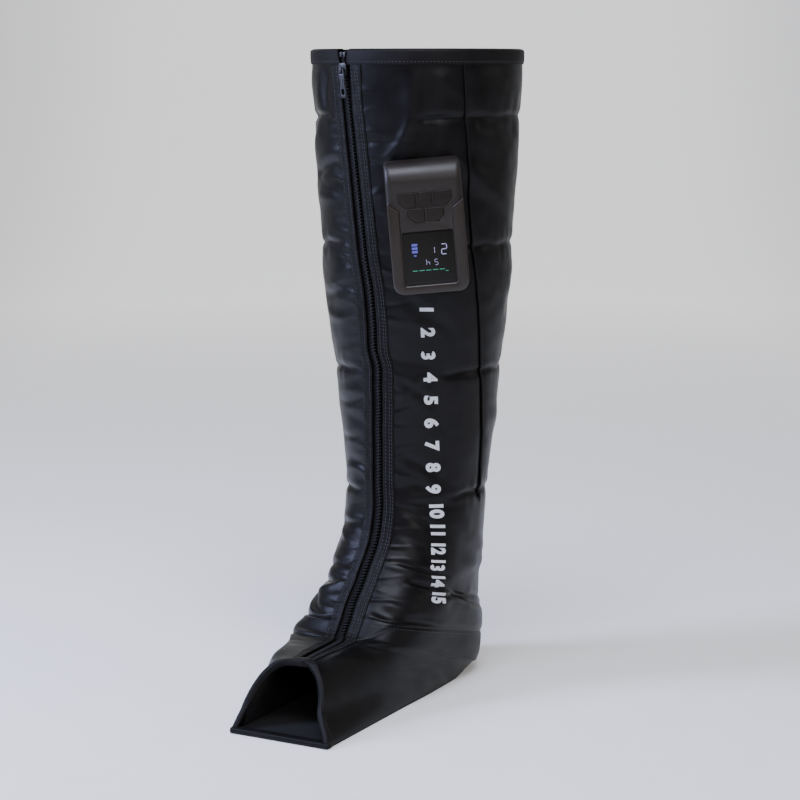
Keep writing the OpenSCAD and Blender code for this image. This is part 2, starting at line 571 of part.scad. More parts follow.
// Soft saddle: its back follows the cloth and its front is flat
saddle_z = -dock_t - 0.2;
module dock_saddle() color("#232429") {
    first = WINDOW_TOP - 1;
    rows = [for (i = [first:first + 8]) row_t(i)];
    cells = [for (t = rows) [for (s = part_of(OUTER_S, 2, 6)) skin(t, s, 0.05)]];
    shell([for (r = cells) [for (p = r) flat_on_pump(p, saddle_z)]], cells,
          function (i, j) in_window(i + first, j + 2));
}
nozzle_y = 15;
nozzle_in = 6.5;
nozzle_bore = 2.6;
function nozzle_x(k) = (k - 1.5) * nozzle_pitch;
peg_d = 5;
peg_at = [19, -34];
peg_l = 5;
module dock_plate() color("#26272c") on_pump() {
    difference() {
        union() {
            block([dock_w, dock_h, dock_t], [0, 0, -dock_t - 0.1]);
            for (k = [0:3]) bar(nozzle_d, nozzle_in + 0.2, [nozzle_x(k), nozzle_y, -0.2], [0, 0, 1]);
            for (x = [-peg_at[0], peg_at[0]]) bar(peg_d, peg_l + 0.2, [x, peg_at[1], -0.2], [0, 0, 1]);
        }
        for (k = [0:3])
            bar(nozzle_bore, nozzle_in + dock_t + 2, [nozzle_x(k), nozzle_y, -dock_t - 1], [0, 0, 1]);
    }
}
module hose_manifold() color("#3a3c42") on_pump()
    difference() {
        top = -dock_t - 0.1;
        low = -stand_off + bladder_h - bladder_t + 0.2;
        block([manifold_w, manifold_h, top - low], [0, manifold_y, low]);
        for (k = [0:3]) bar(nozzle_bore, 4, [nozzle_x(k) * 0.95, nozzle_y, top - 4], [0, 0, 1]);
    }

// ---- Pump case ----
module case_outline(inset = 0) {
    w = case_w / 2 - inset;
    h = case_h / 2 - inset;
    a = corner_top - min(inset, corner_top - 1);
    b = corner_bottom - inset;
    polygon([[-w + b, -h], [w - b, -h], [w, -h + b], [w, h - a],
             [w - a, h], [-w + a, h], [-w, h - a], [-w, -h + b]]);
    for (s = [-1, 1]) {
        translate([s * (w - a), h - a]) circle(a);
        translate([s * (w - b), b - h]) circle(b);
    }
}
module case_body(z0, z1, inset = 0) translate([0, 0, z0]) linear_extrude(z1 - z0) case_outline(inset);
// Everything under the case's front face and its curved hood
module under_hood(inset = 0) {
    r = hood_r - inset;
    top = face_z - inset;
    y = case_h / 2 - hood_r;
    low = -case_h;
    translate([-case_w, low, -1]) cube([2 * case_w, y - low, top + 1]);
    translate([-case_w, low, -1]) cube([2 * case_w, case_h / 2 - inset - low, face_z - hood_r + 1]);
    bar(2 * r, 2 * case_w, [-case_w, y, face_z - hood_r], fn = 96);
}
shell_gap = 0.1;
post_d = 6.4;
screw_fit = 0.06;
SCREWS = [for (x = [-1, 1]) for (y = [-case_h / 2 + 9.5, case_h / 2 - 12.5]) [x * (case_w / 2 - 7), y]];
head_d = 4.6;
head_t = 1.6;
seal_d = nozzle_d + 2.8;
module rear_housing() color("#29241f") on_pump() {
    floor_t = wall;
    difference() {
        union() {
            difference() {
                case_body(0, rear_d);
                case_body(floor_t, rear_d + 1, wall);
            }
            for (p = SCREWS) bar(post_d, rear_d - floor_t + 0.1, [p[0], p[1], floor_t - 0.1], [0, 0, 1]);
        }
        for (p = SCREWS) {
            bar(screw_d + 2 * screw_fit, rear_d + 2, [p[0], p[1], -1], [0, 0, 1]);
            bar(head_d + 0.4, head_t + 1.2, [p[0], p[1], -1], [0, 0, 1]);
        }
        for (k = [0:3]) bar(seal_d, floor_t + 2, [nozzle_x(k), nozzle_y, -1], [0, 0, 1]);
        for (x = [-peg_at[0], peg_at[0]]) bar(peg_d + 0.6, floor_t + 2, [x, peg_at[1], -1], [0, 0, 1]);
    }
}

// Outlines with rounded corners
function rounded(pts, r, n = 6) =
    [for (i = [0:len(pts) - 1])
        let (p = pts[i], n_pts = len(pts),
             a = unit(pts[(i + n_pts - 1) % n_pts] - p), b = unit(pts[(i + 1) % n_pts] - p),
             half = acos(a * b) / 2, c = p + unit(a + b) * r / sin(half), s = p + a * r / tan(half) - c,
             e = p + b * r / tan(half) - c, turn = 180 - 2 * half)
        for (k = [0:n]) c + (s * sin(turn * (1 - k / n)) + e * sin(turn * k / n)) / sin(turn)];
function grown(pts, d) =
    [for (i = [0:len(pts) - 1])
        let (p = pts[i], n_pts = len(pts),
             a = unit(p - pts[(i + n_pts - 1) % n_pts]), b = unit(pts[(i + 1) % n_pts] - p),
             na = [a[1], -a[0]], nb = [b[1], -b[0]])
        p + (na + nb) * d / (1 + na * nb)];

// The keys: two rows that step in towards the bottom. Each is a list of corners, turned anticlockwise.
key_round = 1.4;
row_1 = [20, 34];
row_2 = [6, 18.4];
function mirror_key(pts) = [for (i = [len(pts) - 1:-1:0]) [-pts[i][0], pts[i][1]]];
KEY_UR = [[8.6, row_1[0]], [19, row_1[0]], [25, row_1[0] + 6], [25, row_1[1]], [8.6, row_1[1]]];
KEY_UM = [[-6.6, row_1[0]], [6.6, row_1[0]], [6.6, row_1[1]], [-6.6, row_1[1]]];
KEY_LR = [[1.3, row_2[0]], [11.5, row_2[0]], [17, row_2[0] + 5.5], [17, row_2[1]], [1.3, row_2[1]]];
KEYS = [mirror_key(KEY_UR), KEY_UM, KEY_UR, mirror_key(KEY_LR), KEY_LR];

// The raised U frame's opening and the lens inside it
open_w = case_w / 2 - rim_band;
open_low = -case_h / 2 + rim_band - 2.5;
notch_out = 25.5;
notch_in = 17.5;
lens_top = -3;
lens_gap = 0.15;
ledge = 2.6;
lens_t = 1.1;
lens_w = open_w - 1;
lens_low = open_low + 1;
LENS = [[-lens_w, lens_low], [lens_w, lens_low], [lens_w, lens_top], [-lens_w, lens_top]];
socket_w = 9;
socket_h = 3.1;
board_z = face_z - 4.8 - board_t;
socket_z = board_z + (board_t - socket_h) / 2;
board_low = -case_h / 2 + 8.2;
board_top = 40;

module front_shell() color("#2b2621") on_pump() {
    base = rear_d + shell_gap;
    difference() {
        union() {
            difference() {
                intersection() {
                    case_body(base, face_z);
                    under_hood();
                }
                intersection() {
                    case_body(base - 1, face_z - face_t, wall);
                    under_hood(wall);
                }
            }
            for (p = SCREWS) intersection() {
                bar(post_d, face_z - face_t - base + 0.5, [p[0], p[1], base], [0, 0, 1]);
                under_hood(1);
            }
        }
        for (p = SCREWS) bar(screw_d + 2 * screw_fit, 11, [p[0], p[1], base - 1], [0, 0, 1]);
        for (k = KEYS) translate([0, 0, face_z - face_t - 1])
            linear_extrude(face_t + 2) polygon(rounded(grown(k, key_gap), key_round));
        translate([0, 0, face_z - lens_t - 0.1])
            linear_extrude(lens_t + 1) polygon(rounded(grown(LENS, lens_gap), 2));
        translate([0, 0, face_z - face_t - 1])
            linear_extrude(face_t + 2) polygon(rounded(grown(LENS, -ledge), 1));
        block([socket_w + 0.5, wall + 2, socket_h + 0.4], [0, -case_h / 2 + wall / 2, socket_z - 0.2]);
    }
}
module u_frame() color("#322c27") on_pump()
    translate([0, 0, face_z]) linear_extrude(rim_rise) difference() {
        far = notch_in + (notch_out - notch_in) * (case_w - open_w) / rim_band;
        case_outline();
        polygon(rounded([[-open_w, open_low], [open_w, open_low], [open_w, notch_in], [case_w, far],
                         [case_w, case_h], [-case_w, case_h], [-case_w, far], [-open_w, notch_in]], 2));
    }
module display_lens() color("#1c1916") on_pump()
    translate([0, 0, face_z - lens_t - 0.05]) linear_extrude(lens_t) polygon(rounded(LENS, 2));
module display_module() color("#101012") on_pump()
    block([40, 36, 2.6], [0, -28, board_z + board_t + 0.05]);

flange = 0.6;
flange_t = 0.8;
button_low = face_z - face_t - 0.2 - flange_t;
module button(k) color("#2f2a24") on_pump() {
    neck = button_low + flange_t - 0.01;
    translate([0, 0, neck]) linear_extrude(face_z + key_rise - neck)
        polygon(rounded(KEYS[k], key_round - key_gap));
    translate([0, 0, button_low]) linear_extrude(flange_t)
        polygon(rounded(grown(KEYS[k], flange), key_round));
}
module button_upper_left() button(0);
module button_upper_middle() button(1);
module button_upper_right() button(2);
module button_lower_left() button(3);
module button_lower_right() button(4);
function middle_of(pts) = [for (a = [0, 1]) (max([for (p = pts) p[a]]) + min([for (p = pts) p[a]])) / 2];
module keypad_membrane() color("#57595e") on_pump() {
    z = board_z + board_t;
    block([56, 31, 0.6], [0, 20, z]);
    for (k = KEYS) bar(7, button_low - key_travel - 0.15 - z, concat(middle_of(k), [z]), [0, 0, 1]);
}
module main_board() color("#1f5a3a") on_pump()
    difference() {
        block([case_w - 2 * wall - 2.4, board_top - board_low, board_t],
              [0, (board_top + board_low) / 2, board_z]);
        for (p = SCREWS) bar(post_d + 0.8, board_t + 2, [p[0], p[1], board_z - 1], [0, 0, 1]);
    }
module charge_socket() color("#b9bcc2") on_pump() {
    l = 7.4;
    y = -case_h / 2 + 0.6;
    difference() {
        block([socket_w, l, socket_h], [0, y + l / 2, socket_z]);
        block([socket_w - 1, l - 1.4, socket_h - 0.9], [0, y + l / 2 - 1.4, socket_z + 0.45]);
    }
    block([socket_w - 3, l - 1.4, 0.7], [0, y + l / 2 + 0.2, socket_z + socket_h / 2 - 0.35]);
}

// ---- Pump works ----
cell_z = wall + 0.8 + cell_d / 2;
cell_y = -case_h / 2 + wall + 2.4;
cell_x = cell_d / 2 + 0.15;
module battery_cells() color("#2f6db3") on_pump()
    for (s = [-1, 1]) {
        bar(cell_d, cell_l - 1.2, [s * cell_x, cell_y, cell_z], [0, 1, 0]);
        bar(6, 1.3, [s * cell_x, cell_y + cell_l - 1.3, cell_z], [0, 1, 0]);
    }
module battery_cradle() color("#4a4b50") on_pump()
    difference() {
        block([2 * cell_x + cell_d + 2.4, cell_l - 6, 5], [0, cell_y + cell_l / 2 - 1, wall + 0.1]);
        for (s = [-1, 1]) bar(cell_d + 0.2, cell_l + 4, [s * cell_x, cell_y - 2, cell_z], [0, 1, 0]);
        for (x = [-peg_at[0], peg_at[0]]) bar(peg_d + 0.8, peg_l + 2, [x, peg_at[1], 0], [0, 0, 1]);
    }
motor_y = 35.5;
motor_z = wall + 0.2 + motor_d / 2;
motor_x = -case_w / 2 + wall + 0.8;
head_x = motor_x + motor_l + 0.1;
head = [22, 21, motor_d]; // along the motor, up the case, and depth
crank_l = 5;
module pump_motor() color("#9a9da3") on_pump()
    difference() {
        bar(motor_d, motor_l, [motor_x, motor_y, motor_z]);
        bar(shaft_d + 0.1, motor_l - 3, [motor_x + 4, motor_y, motor_z]);
    }
module pump_head() color("#d8d9db") on_pump()
    difference() {
        block(head, [head_x + head[0] / 2, motor_y, motor_z - head[2] / 2]);
        bar(shaft_d + 0.1, 5, [head_x - 1, motor_y, motor_z]);
        bar(15, crank_l + 1, [head_x + 3, motor_y, motor_z]);
    }
// Shaft and crank turn as one piece
module pump_rotor() color("#c7c9cd") on_pump() {
    bar(shaft_d, head_x + 3.6 - motor_x - 6, [motor_x + 6, motor_y, motor_z]);
    bar(10, crank_l - 0.2, [head_x + 3.6, motor_y, motor_z]);
    bar(3, 0.6, [head_x + 3.6 + crank_l - 0.4, motor_y + 3, motor_z]);
}
valve_h = 12.4;
block_h = 6.6;
module valve_block() color("#c9cacc") on_pump()
    difference() {
        block([54, valve_h, block_h], [0, nozzle_y, wall + 0.1]);
        for (k = [0:3]) bar(nozzle_d + 0.5, nozzle_in - wall + 0.5, [nozzle_x(k), nozzle_y, wall], [0, 0, 1]);
    }
module solenoid_valves() color("#3d4f6b") on_pump()
    for (k = [0:3]) block([12, valve_h - 0.8, board_z - wall - block_h - 1],
                          [(k - 1.5) * 13.2, nozzle_y, wall + block_h + 0.15]);
module pump_tube() color("#8a919c") on_pump() {
    x = head_x + head[0] - 4;
    bar(3.6, motor_y - head[1] / 2 - nozzle_y - valve_h / 2 - 0.2,
        [x, nozzle_y + valve_h / 2 + 0.1, wall + block_h / 2], [0, 1, 0]);
}
module nozzle_seals() color("#b04a3a") on_pump()
    for (k = [0:3]) difference() {
        bar(seal_d - 0.04, wall, [nozzle_x(k), nozzle_y, 0], [0, 0, 1]);
        bar(nozzle_d + 0.06, wall + 2, [nozzle_x(k), nozzle_y, -1], [0, 0, 1]);
    }
module case_screws() color("#8b8d91") on_pump()
    for (p = SCREWS) {
        bar(head_d, head_t - 0.2, [p[0], p[1], 0.2], [0, 0, 1]);
        bar(screw_d, rear_d + 7, [p[0], p[1], head_t - 0.1], [0, 0, 1]);
    }

lateral_panel();
back_panel();
medial_panel();
foot_panel_lateral();
foot_panel_medial();
sole_panel();
insole();
leg_lining();
foot_lining();
top_hem();
toe_hem();
zip_facing_lateral();
zip_facing_medial();
zipper_tape_lateral();
zipper_tape_medial();
zipper_teeth_lateral();
zipper_teeth_medial();
zipper_stops();
seam_piping();
bladder_top();
bladder_upper_calf();
bladder_calf();
bladder_ankle();
hose_top();
hose_upper_calf();
hose_calf();
hose_ankle();
hose_manifold();
dock_saddle();
dock_plate();
zip_slider();
zip_pull();
rear_housing();
front_shell();
u_frame();
display_lens();
display_module();
button_upper_left();
button_upper_middle();
button_upper_right();
button_lower_left();
button_lower_right();
keypad_membrane();
main_board();
battery_cells();
battery_cradle();
pump_motor();
pump_head();
pump_rotor();
valve_block();
solenoid_valves();
pump_tube();
nozzle_seals();
charge_socket();
case_screws();
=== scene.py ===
"""Looks of an air compression sleeve for a left lower leg, with its pump docked on the outer side.

Blender works in metres and in the part's own frame: +X is the outer side of the leg, -Y the toe and
+Z up. Sizes below are in millimetres, and MM turns them to metres. A place on the sleeve is given by
t, which runs down from the rim in hundreds of millimetres, and s, the millimetres round from the
zipper, positive towards the outer side.
"""
import math

import bmesh
import bpy
import numpy as np
from mathutils import Matrix, Vector


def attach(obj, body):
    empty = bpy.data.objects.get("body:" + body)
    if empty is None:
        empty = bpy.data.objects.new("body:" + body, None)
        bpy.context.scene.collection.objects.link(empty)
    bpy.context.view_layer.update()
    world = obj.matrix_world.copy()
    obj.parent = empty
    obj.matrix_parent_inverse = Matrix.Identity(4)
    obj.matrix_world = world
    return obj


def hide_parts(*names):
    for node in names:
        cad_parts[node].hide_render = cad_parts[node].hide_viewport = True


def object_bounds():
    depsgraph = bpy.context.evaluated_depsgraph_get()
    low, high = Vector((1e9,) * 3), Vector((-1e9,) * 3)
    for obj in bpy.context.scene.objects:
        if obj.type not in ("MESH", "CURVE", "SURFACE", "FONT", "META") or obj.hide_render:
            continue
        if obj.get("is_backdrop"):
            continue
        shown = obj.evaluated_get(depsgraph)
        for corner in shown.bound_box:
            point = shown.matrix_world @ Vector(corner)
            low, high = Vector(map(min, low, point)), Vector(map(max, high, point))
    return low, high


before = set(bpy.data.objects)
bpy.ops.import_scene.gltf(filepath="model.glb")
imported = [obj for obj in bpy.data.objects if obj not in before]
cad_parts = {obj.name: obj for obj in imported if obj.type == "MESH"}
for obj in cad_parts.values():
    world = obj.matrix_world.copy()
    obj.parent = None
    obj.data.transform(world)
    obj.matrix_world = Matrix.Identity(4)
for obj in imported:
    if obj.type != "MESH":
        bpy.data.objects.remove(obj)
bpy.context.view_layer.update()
MM = 0.001

# ---------------------------------------------------------------- the sleeve's outer face

SLEEVE_H, RIM_W, RIM_D, RIM_TURN = 630, 218, 200, 17
CALF_Z, CALF_W, CALF_D, CALF_TURN = 430, 191, 180, 6
SHIN_Z, SHIN_W, SHIN_D = 320, 166, 164
LOW_Z, LOW_W, LOW_D = 215, 141, 148
ANKLE_W, ANKLE_Z = 132, LOW_Z - 65
SOLE_HALF, INSTEP_H, TOE_REACH, TOE_SLOPE, HEEL_REACH, SOLE_T = 52, 66, 270, 42, 68, 1.8
T_CALF = (SLEEVE_H - CALF_Z) / 100
T_SHIN = T_CALF + (CALF_Z - SHIN_Z) / 100
T_LOW = T_SHIN + (SHIN_Z - LOW_Z) / 100
T_ANKLE = T_LOW + 0.65
T_HEEL = T_ANKLE + 1.7
T_TOE = T_HEEL + 2.8
T_SEAM = T_ANKLE + 1.28  # where the cushioned leg is sewn to the plain foot
T_PUMP, PUMP_S = 1.62, 68  # the middle of the pump
SEAM_S = 115  # the side seam
SLOT_HALF, FACING_OUTER, FACING_INNER = 7, 10, 11  # the zipper's slot and the facings beside it

# t, centre x, front y, front z, back y, back z, half width, turn, half width on the sole,
# squareness, narrowing towards the top
SECTIONS = [
    (0, 0, -RIM_D / 2, SLEEVE_H, RIM_D / 2, SLEEVE_H, RIM_W / 2, RIM_TURN, 0, 2, 0),
    (T_CALF, 0, -CALF_D / 2, CALF_Z, CALF_D / 2, CALF_Z, CALF_W / 2, CALF_TURN, 0, 2, 0),
    (T_SHIN, 0, 3 - SHIN_D / 2, SHIN_Z, 3 + SHIN_D / 2, SHIN_Z, SHIN_W / 2, 3, 0, 2, 0),
    (T_LOW, 0, 3 - LOW_D / 2, LOW_Z, 3 + LOW_D / 2, LOW_Z, LOW_W / 2, 3, 0, 2.05, 0),
    (T_ANKLE, -1, -80, ANKLE_Z + 10, HEEL_REACH + 3, ANKLE_Z - 10, ANKLE_W / 2, 1, 0, 2.2, 0),
    (T_ANKLE + 0.65, -3, -104, INSTEP_H + 54, HEEL_REACH - 2, 82, ANKLE_W / 2 - 1, 0, 0, 2.6, 0),
    (T_ANKLE + 1.2, -4, -132, INSTEP_H + 22, HEEL_REACH, 38, SOLE_HALF + 15, 0, 0, 3.2, 0),
    (T_ANKLE + 1.55, -4, -146, INSTEP_H + 7, HEEL_REACH - 4, 12, SOLE_HALF + 14, 0, 0, 3.5, 0),
    (T_HEEL, -4, -150, INSTEP_H + 4.5, HEEL_REACH - 11, SOLE_T, SOLE_HALF + 13, 0, 0, 3.5, 0),
    (T_HEEL + 0.1, -3, -152, INSTEP_H + 4, HEEL_REACH - 15, SOLE_T, SOLE_HALF + 11, 0, 19, 3.5, 0),
    (T_HEEL + 0.3, -2, -155, INSTEP_H + 3, HEEL_REACH - 28, SOLE_T, SOLE_HALF + 9, 0, 38, 3.5, 0.02),
    (T_HEEL + 0.8, -1, -163, INSTEP_H + 2, -10, SOLE_T, SOLE_HALF + 5, 0, SOLE_HALF, 3.4, 0.05),
    (T_HEEL + 1.8, 0, -190, INSTEP_H + 1, -130, SOLE_T, SOLE_HALF + 1.5, 0, SOLE_HALF, 3.2, 0.16),
    (T_TOE, 0, TOE_SLOPE - TOE_REACH, INSTEP_H - 1, -TOE_REACH, SOLE_T, SOLE_HALF, 0, SOLE_HALF,
     3.2, 0.25),
]


def knot(row):
    """The middle, the half depth, the half width and the three shape numbers of a section."""
    _, x, y0, z0, y1, z1, half, turn, foot, square, narrow = row
    a = math.radians(turn)
    depth, rise = (y0 - y1) / 2, (z0 - z1) / 2
    return [x, (y0 + y1) / 2, (z0 + z1) / 2, depth * math.sin(a), depth * math.cos(a), rise,
            half * math.cos(a), -half * math.sin(a), 0, foot, square, narrow]


KNOT_T = np.array([row[0] for row in SECTIONS], float)
KNOTS = np.array([knot(row) for row in SECTIONS], float)
LAST = len(KNOT_T) - 1
SLOPES = np.array([(KNOTS[b] - KNOTS[a]) / (KNOT_T[b] - KNOT_T[a]) for a, b in
                   [(0, 1), (0, 1)] + [(i - 1, i + 1) for i in range(2, LAST)] + [(LAST - 1, LAST)]])


def stretch(knots, t):
    """The number of the stretch between two knots that holds each t."""
    return np.clip(np.searchsorted(knots, t, side="right") - 1, 0, len(knots) - 2)


def cubic(a, b, slope_a, slope_b, h, s):
    """The curve from a to b over a length h with these slopes at its ends. s runs from 0 to 1."""
    return (a * (2 * s**3 - 3 * s**2 + 1) + slope_a * h * (s**3 - 2 * s**2 + s)
            + b * (3 * s**2 - 2 * s**3) + slope_b * h * (s**3 - s**2))


def section(t):
    """The section at each t, blended between the named ones; the first stretch is straight."""
    t = np.asarray(t, float)
    i = stretch(KNOT_T, t)
    h = KNOT_T[i + 1] - KNOT_T[i]
    s = (t - KNOT_T[i]) / h
    s, h = s[..., None], h[..., None]
    curve = cubic(KNOTS[i], KNOTS[i + 1], SLOPES[i], SLOPES[i + 1], h, s)
    straight = KNOTS[0] + (KNOTS[1] - KNOTS[0]) * s
    return np.where((i == 0)[..., None], straight, curve)


def on_section(v, u):
    """The point at u of each section v: u is 0 on the zipper, 1 and -1 at the back or the sole."""
    middle, depth, width = v[..., 0:3], v[..., 3:6], v[..., 6:9]
    n = v[..., 10]
    foot = np.clip(v[..., 9], 0, None) / np.linalg.norm(width, axis=-1)
    end = -(1 - np.minimum(1, foot) ** n) ** (1 / n)
    a = u * np.arctan2(foot, end)
    r = (np.abs(np.cos(a)) ** n + np.abs(np.sin(a)) ** n) ** (-1 / n)
    q = (1 - r * np.cos(a)) / (1 - end)
    return (middle + depth * (1 - 2 * q)[..., None]
            + width * (r * np.sin(a) * (1 - v[..., 11] * (1 - q)))[..., None])


def ramp(x, a, b):
    """Rises smoothly from 0 at a to 1 at b."""
    f = np.clip((x - a) / (b - a), 0, 1)
    return f * f * (3 - 2 * f)


def bump(x, w):
    """1 at 0, and nearly 0 from twice the width w."""
    return np.exp(-(x / w) ** 2)


STEP = 0.01  # between the places that give a direction on the face
SHOULDER_OUT, TOE_LEAN = 16, 11


def placed(t, u):
    """A point of the outer face. The foot's cloth stands out over its inner shoulder, and it leans
    in over the outer side of the toe."""
    shoulder = (ramp(t, T_ANKLE + 0.8, T_HEEL + 0.5) * (1 - ramp(t, T_HEEL + 1.9, T_TOE + 0.1))
                * ramp(-u, 0.05, 0.35) * (1 - ramp(-u, 0.6, 0.98)))
    lean = ramp(t, T_TOE - 1.4, T_TOE) * ramp(u, 0, 0.4) * (1 - ramp(u, 0.7, 1))
    point = on_section(section(t), u)
    point[..., 0] -= np.where(u < 0, SHOULDER_OUT * shoulder, TOE_LEAN * lean)
    return point


def face(t, u):
    """Points of the outer face in millimetres, and the directions that look away from the leg."""
    t, u = np.broadcast_arrays(np.asarray(t, float), np.asarray(u, float))
    point = placed(t, u)
    out = np.cross(placed(t + STEP, u) - placed(t - STEP, u), placed(t, u + STEP) - placed(t, u - STEP))
    out /= np.linalg.norm(out, axis=-1, keepdims=True)
    point[..., 2] = np.maximum(point[..., 2], SOLE_T)
    return point, out


def pace(t):
    """Millimetres for one unit of u beside the zipper."""
    v = section(np.maximum(t, T_PUMP))
    return np.linalg.norm(on_section(v, np.full(np.shape(t), STEP))
                          - on_section(v, np.full(np.shape(t), -STEP)), axis=-1) / (2 * STEP)


# The zipper wanders a little sideways below its straight run: t and millimetres
SWAY = [(1.9, 0), (2.35, 2.6), (2.6, 2.2), (2.86, 0.8), (3.06, 4.4), (3.3, 2.8), (3.75, 0.4), (4.2, -0.5),
        (4.5, 0.9), (4.9, 0.6), (5.3, -0.9), (5.75, -1.3), (6.15, 0.8), (6.8, 2.6), (7.6, 1.6), (8.9, 0)]


def sway(t):
    knots, moved = np.array(SWAY).T
    i = stretch(knots, t)
    f = ramp(t, knots[i], knots[i + 1])
    return moved[i] * (1 - f) + moved[i + 1] * f


NOISE_CELLS = 96  # the noise repeats after this many bumps


def soft_noise(x, y, seed):
    """Smooth noise from -1 to 1 with one bump per unit."""
    grid = np.random.default_rng(seed).uniform(-1, 1, (NOISE_CELLS, NOISE_CELLS))
    i, j = np.floor(x).astype(int), np.floor(y).astype(int)
    fx, fy = ramp(x - i, 0, 1), ramp(y - j, 0, 1)
    at = lambda a, b: grid[a % NOISE_CELLS, b % NOISE_CELLS]
    return ((at(i, j) * (1 - fx) + at(i + 1, j) * fx) * (1 - fy)
            + (at(i, j + 1) * (1 - fx) + at(i + 1, j + 1) * fx) * fy)


# ---------------------------------------------------------------- folds, puckers and weld lines

LEG_ROWS, FIRST_WELD, CHAMBER_ROWS, CHAMBERS = 49, 5, 10, ["top", "upper_calf", "calf", "ankle"]


def leg_row(k):
    """t at the leg's row k, counted from the rim to the seam with the foot."""
    return k * T_SEAM / LEG_ROWS


WELDS = [leg_row(FIRST_WELD + k * CHAMBER_ROWS) for k in range(len(CHAMBERS) + 1)]
BLADDER_S = 84  # the air chambers start here on the outer side
WELD_DEPTH = 2.2

# Folds of the outer cloth: t and s of both ends, width and height in millimetres. A fold is a ridge
# with a hollow on its far side.
FOLDS = [
    (1.06, 46, 0.20, 74, 9, 2.6), (1.02, 30, 0.55, 74, 5, 1.5), (0.16, 96, 0.95, 88, 8, 1.2),
    (1.00, 112, 1.55, 176, 11, 2.2), (0.62, 120, 0.80, 190, 8, -1.2), (2.45, 150, 2.05, 215, 12, 1.6),
    (2.35, 40, 2.75, 84, 7, -1.0), (3.20, 26, 3.42, 60, 5, -1.3), (3.36, 25, 3.10, 55, 4, 0.9),
    (3.95, 25, 4.12, 62, 5, -1.2), (4.52, 25, 4.74, 66, 5, -1.3), (4.80, 26, 4.98, 58, 5, -1.1),
    (4.42, 26, 4.30, 90, 6, 1.1), (5.20, 27, 5.30, 80, 4, -1.8), (5.46, 44, 5.50, 76, 3.2, -3.0),
    (5.50, 74, 5.68, 150, 4.5, -3.4), (5.96, 22, 6.03, 52, 3.4, -2.6), (6.00, 50, 6.05, 130, 4.2, -3.0),
    (5.78, 30, 5.86, 66, 6, 1.6), (5.20, 100, 5.05, 160, 8, 1.6), (4.70, 84, 4.95, 150, 9, 1.4),
    (3.55, 130, 3.85, 190, 11, 1.5), (0.10, -22, 0.60, -34, 7, -2.2), (1.10, -18, 1.16, -75, 6, -2.6),
    (0.75, -45, 1.05, -90, 10, 2.0), (1.45, -30, 1.35, -80, 6, 1.2), (2.28, -20, 2.36, -78, 5, -1.5),
    (2.62, -24, 2.50, -80, 6, 1.2), (3.36, -20, 3.46, -70, 5, -1.2), (3.72, -20, 3.82, -66, 4, -1.4),
    (4.05, -20, 4.14, -60, 5, 1.2), (4.68, -20, 4.78, -64, 4, -1.6), (4.98, -22, 4.86, -60, 5, 1.4),
    (5.25, -22, 5.42, -70, 5, -1.8), (5.52, -20, 5.80, -56, 6, 2.2), (5.72, -62, 6.10, -18, 4, -3.0),
]
FOOT_FOLDS = [
    (6.75, 36, 9.0, 22, 9, 3.0), (6.25, -60, 6.75, -26, 14, 3.0), (6.9, -44, 8.6, -52, 14, 1.2),
    (7.4, 60, 8.8, 72, 14, 0.8),
]


def crease(t, s, t0, s0, t1, s1, width, height):
    """Height of one fold at each place."""
    ax, ay, bx, by = s0, 100 * t0, s1, 100 * t1
    length = math.hypot(bx - ax, by - ay)
    dx, dy = (bx - ax) / length, (by - ay) / length
    x, y = s - ax, 100 * t - ay
    along, off = x * dx + y * dy, x * dy - y * dx
    off = off + 0.06 * length * np.sin(3.1 * along / length + t0)
    ends = ramp(along, -0.15 * length, 0.2 * length) * (1 - ramp(along, 0.7 * length, 1.15 * length))
    return height * ends * (bump(off, width) - 0.45 * bump(off + 1.7 * width, 1.3 * width))


def zip_puckers(seed, count, t0, t1):
    """Short puckers that the zipper's seam draws into the cloth: t, width, length, slope and height."""
    draw = np.random.default_rng(seed)
    places = np.linspace(t0, t1, count) + draw.uniform(-0.05, 0.05, count)
    return [(t, draw.uniform(1.8, 4.2), draw.uniform(9, 26), draw.uniform(-0.35, 0.35),
             draw.uniform(0.5, 1.25) * draw.choice([-1, 1])) for t in places]


OUTER_PUCKERS = zip_puckers(11, 34, 0.4, 5.95)
INNER_PUCKERS = zip_puckers(23, 52, 0.5, 5.95)


def seam_groove(t, s):
    """The leg's cushioned cloth and the foot's plain cloth meet in a groove, deepest on the inner side.
    On the outer side it turns towards the toe beside the zipper."""
    deep = np.where(s > 0, 1.6 - 0.9 * ramp(s, 46, 90), 2.6)
    seam = T_SEAM + np.where(s > 0, 0.55 * (1 - ramp(s, 8, 50)), 0)
    return -deep * bump(100 * (t - seam), 2.6) * ramp(np.abs(s), SLOT_HALF + 4, SLOT_HALF + 12)


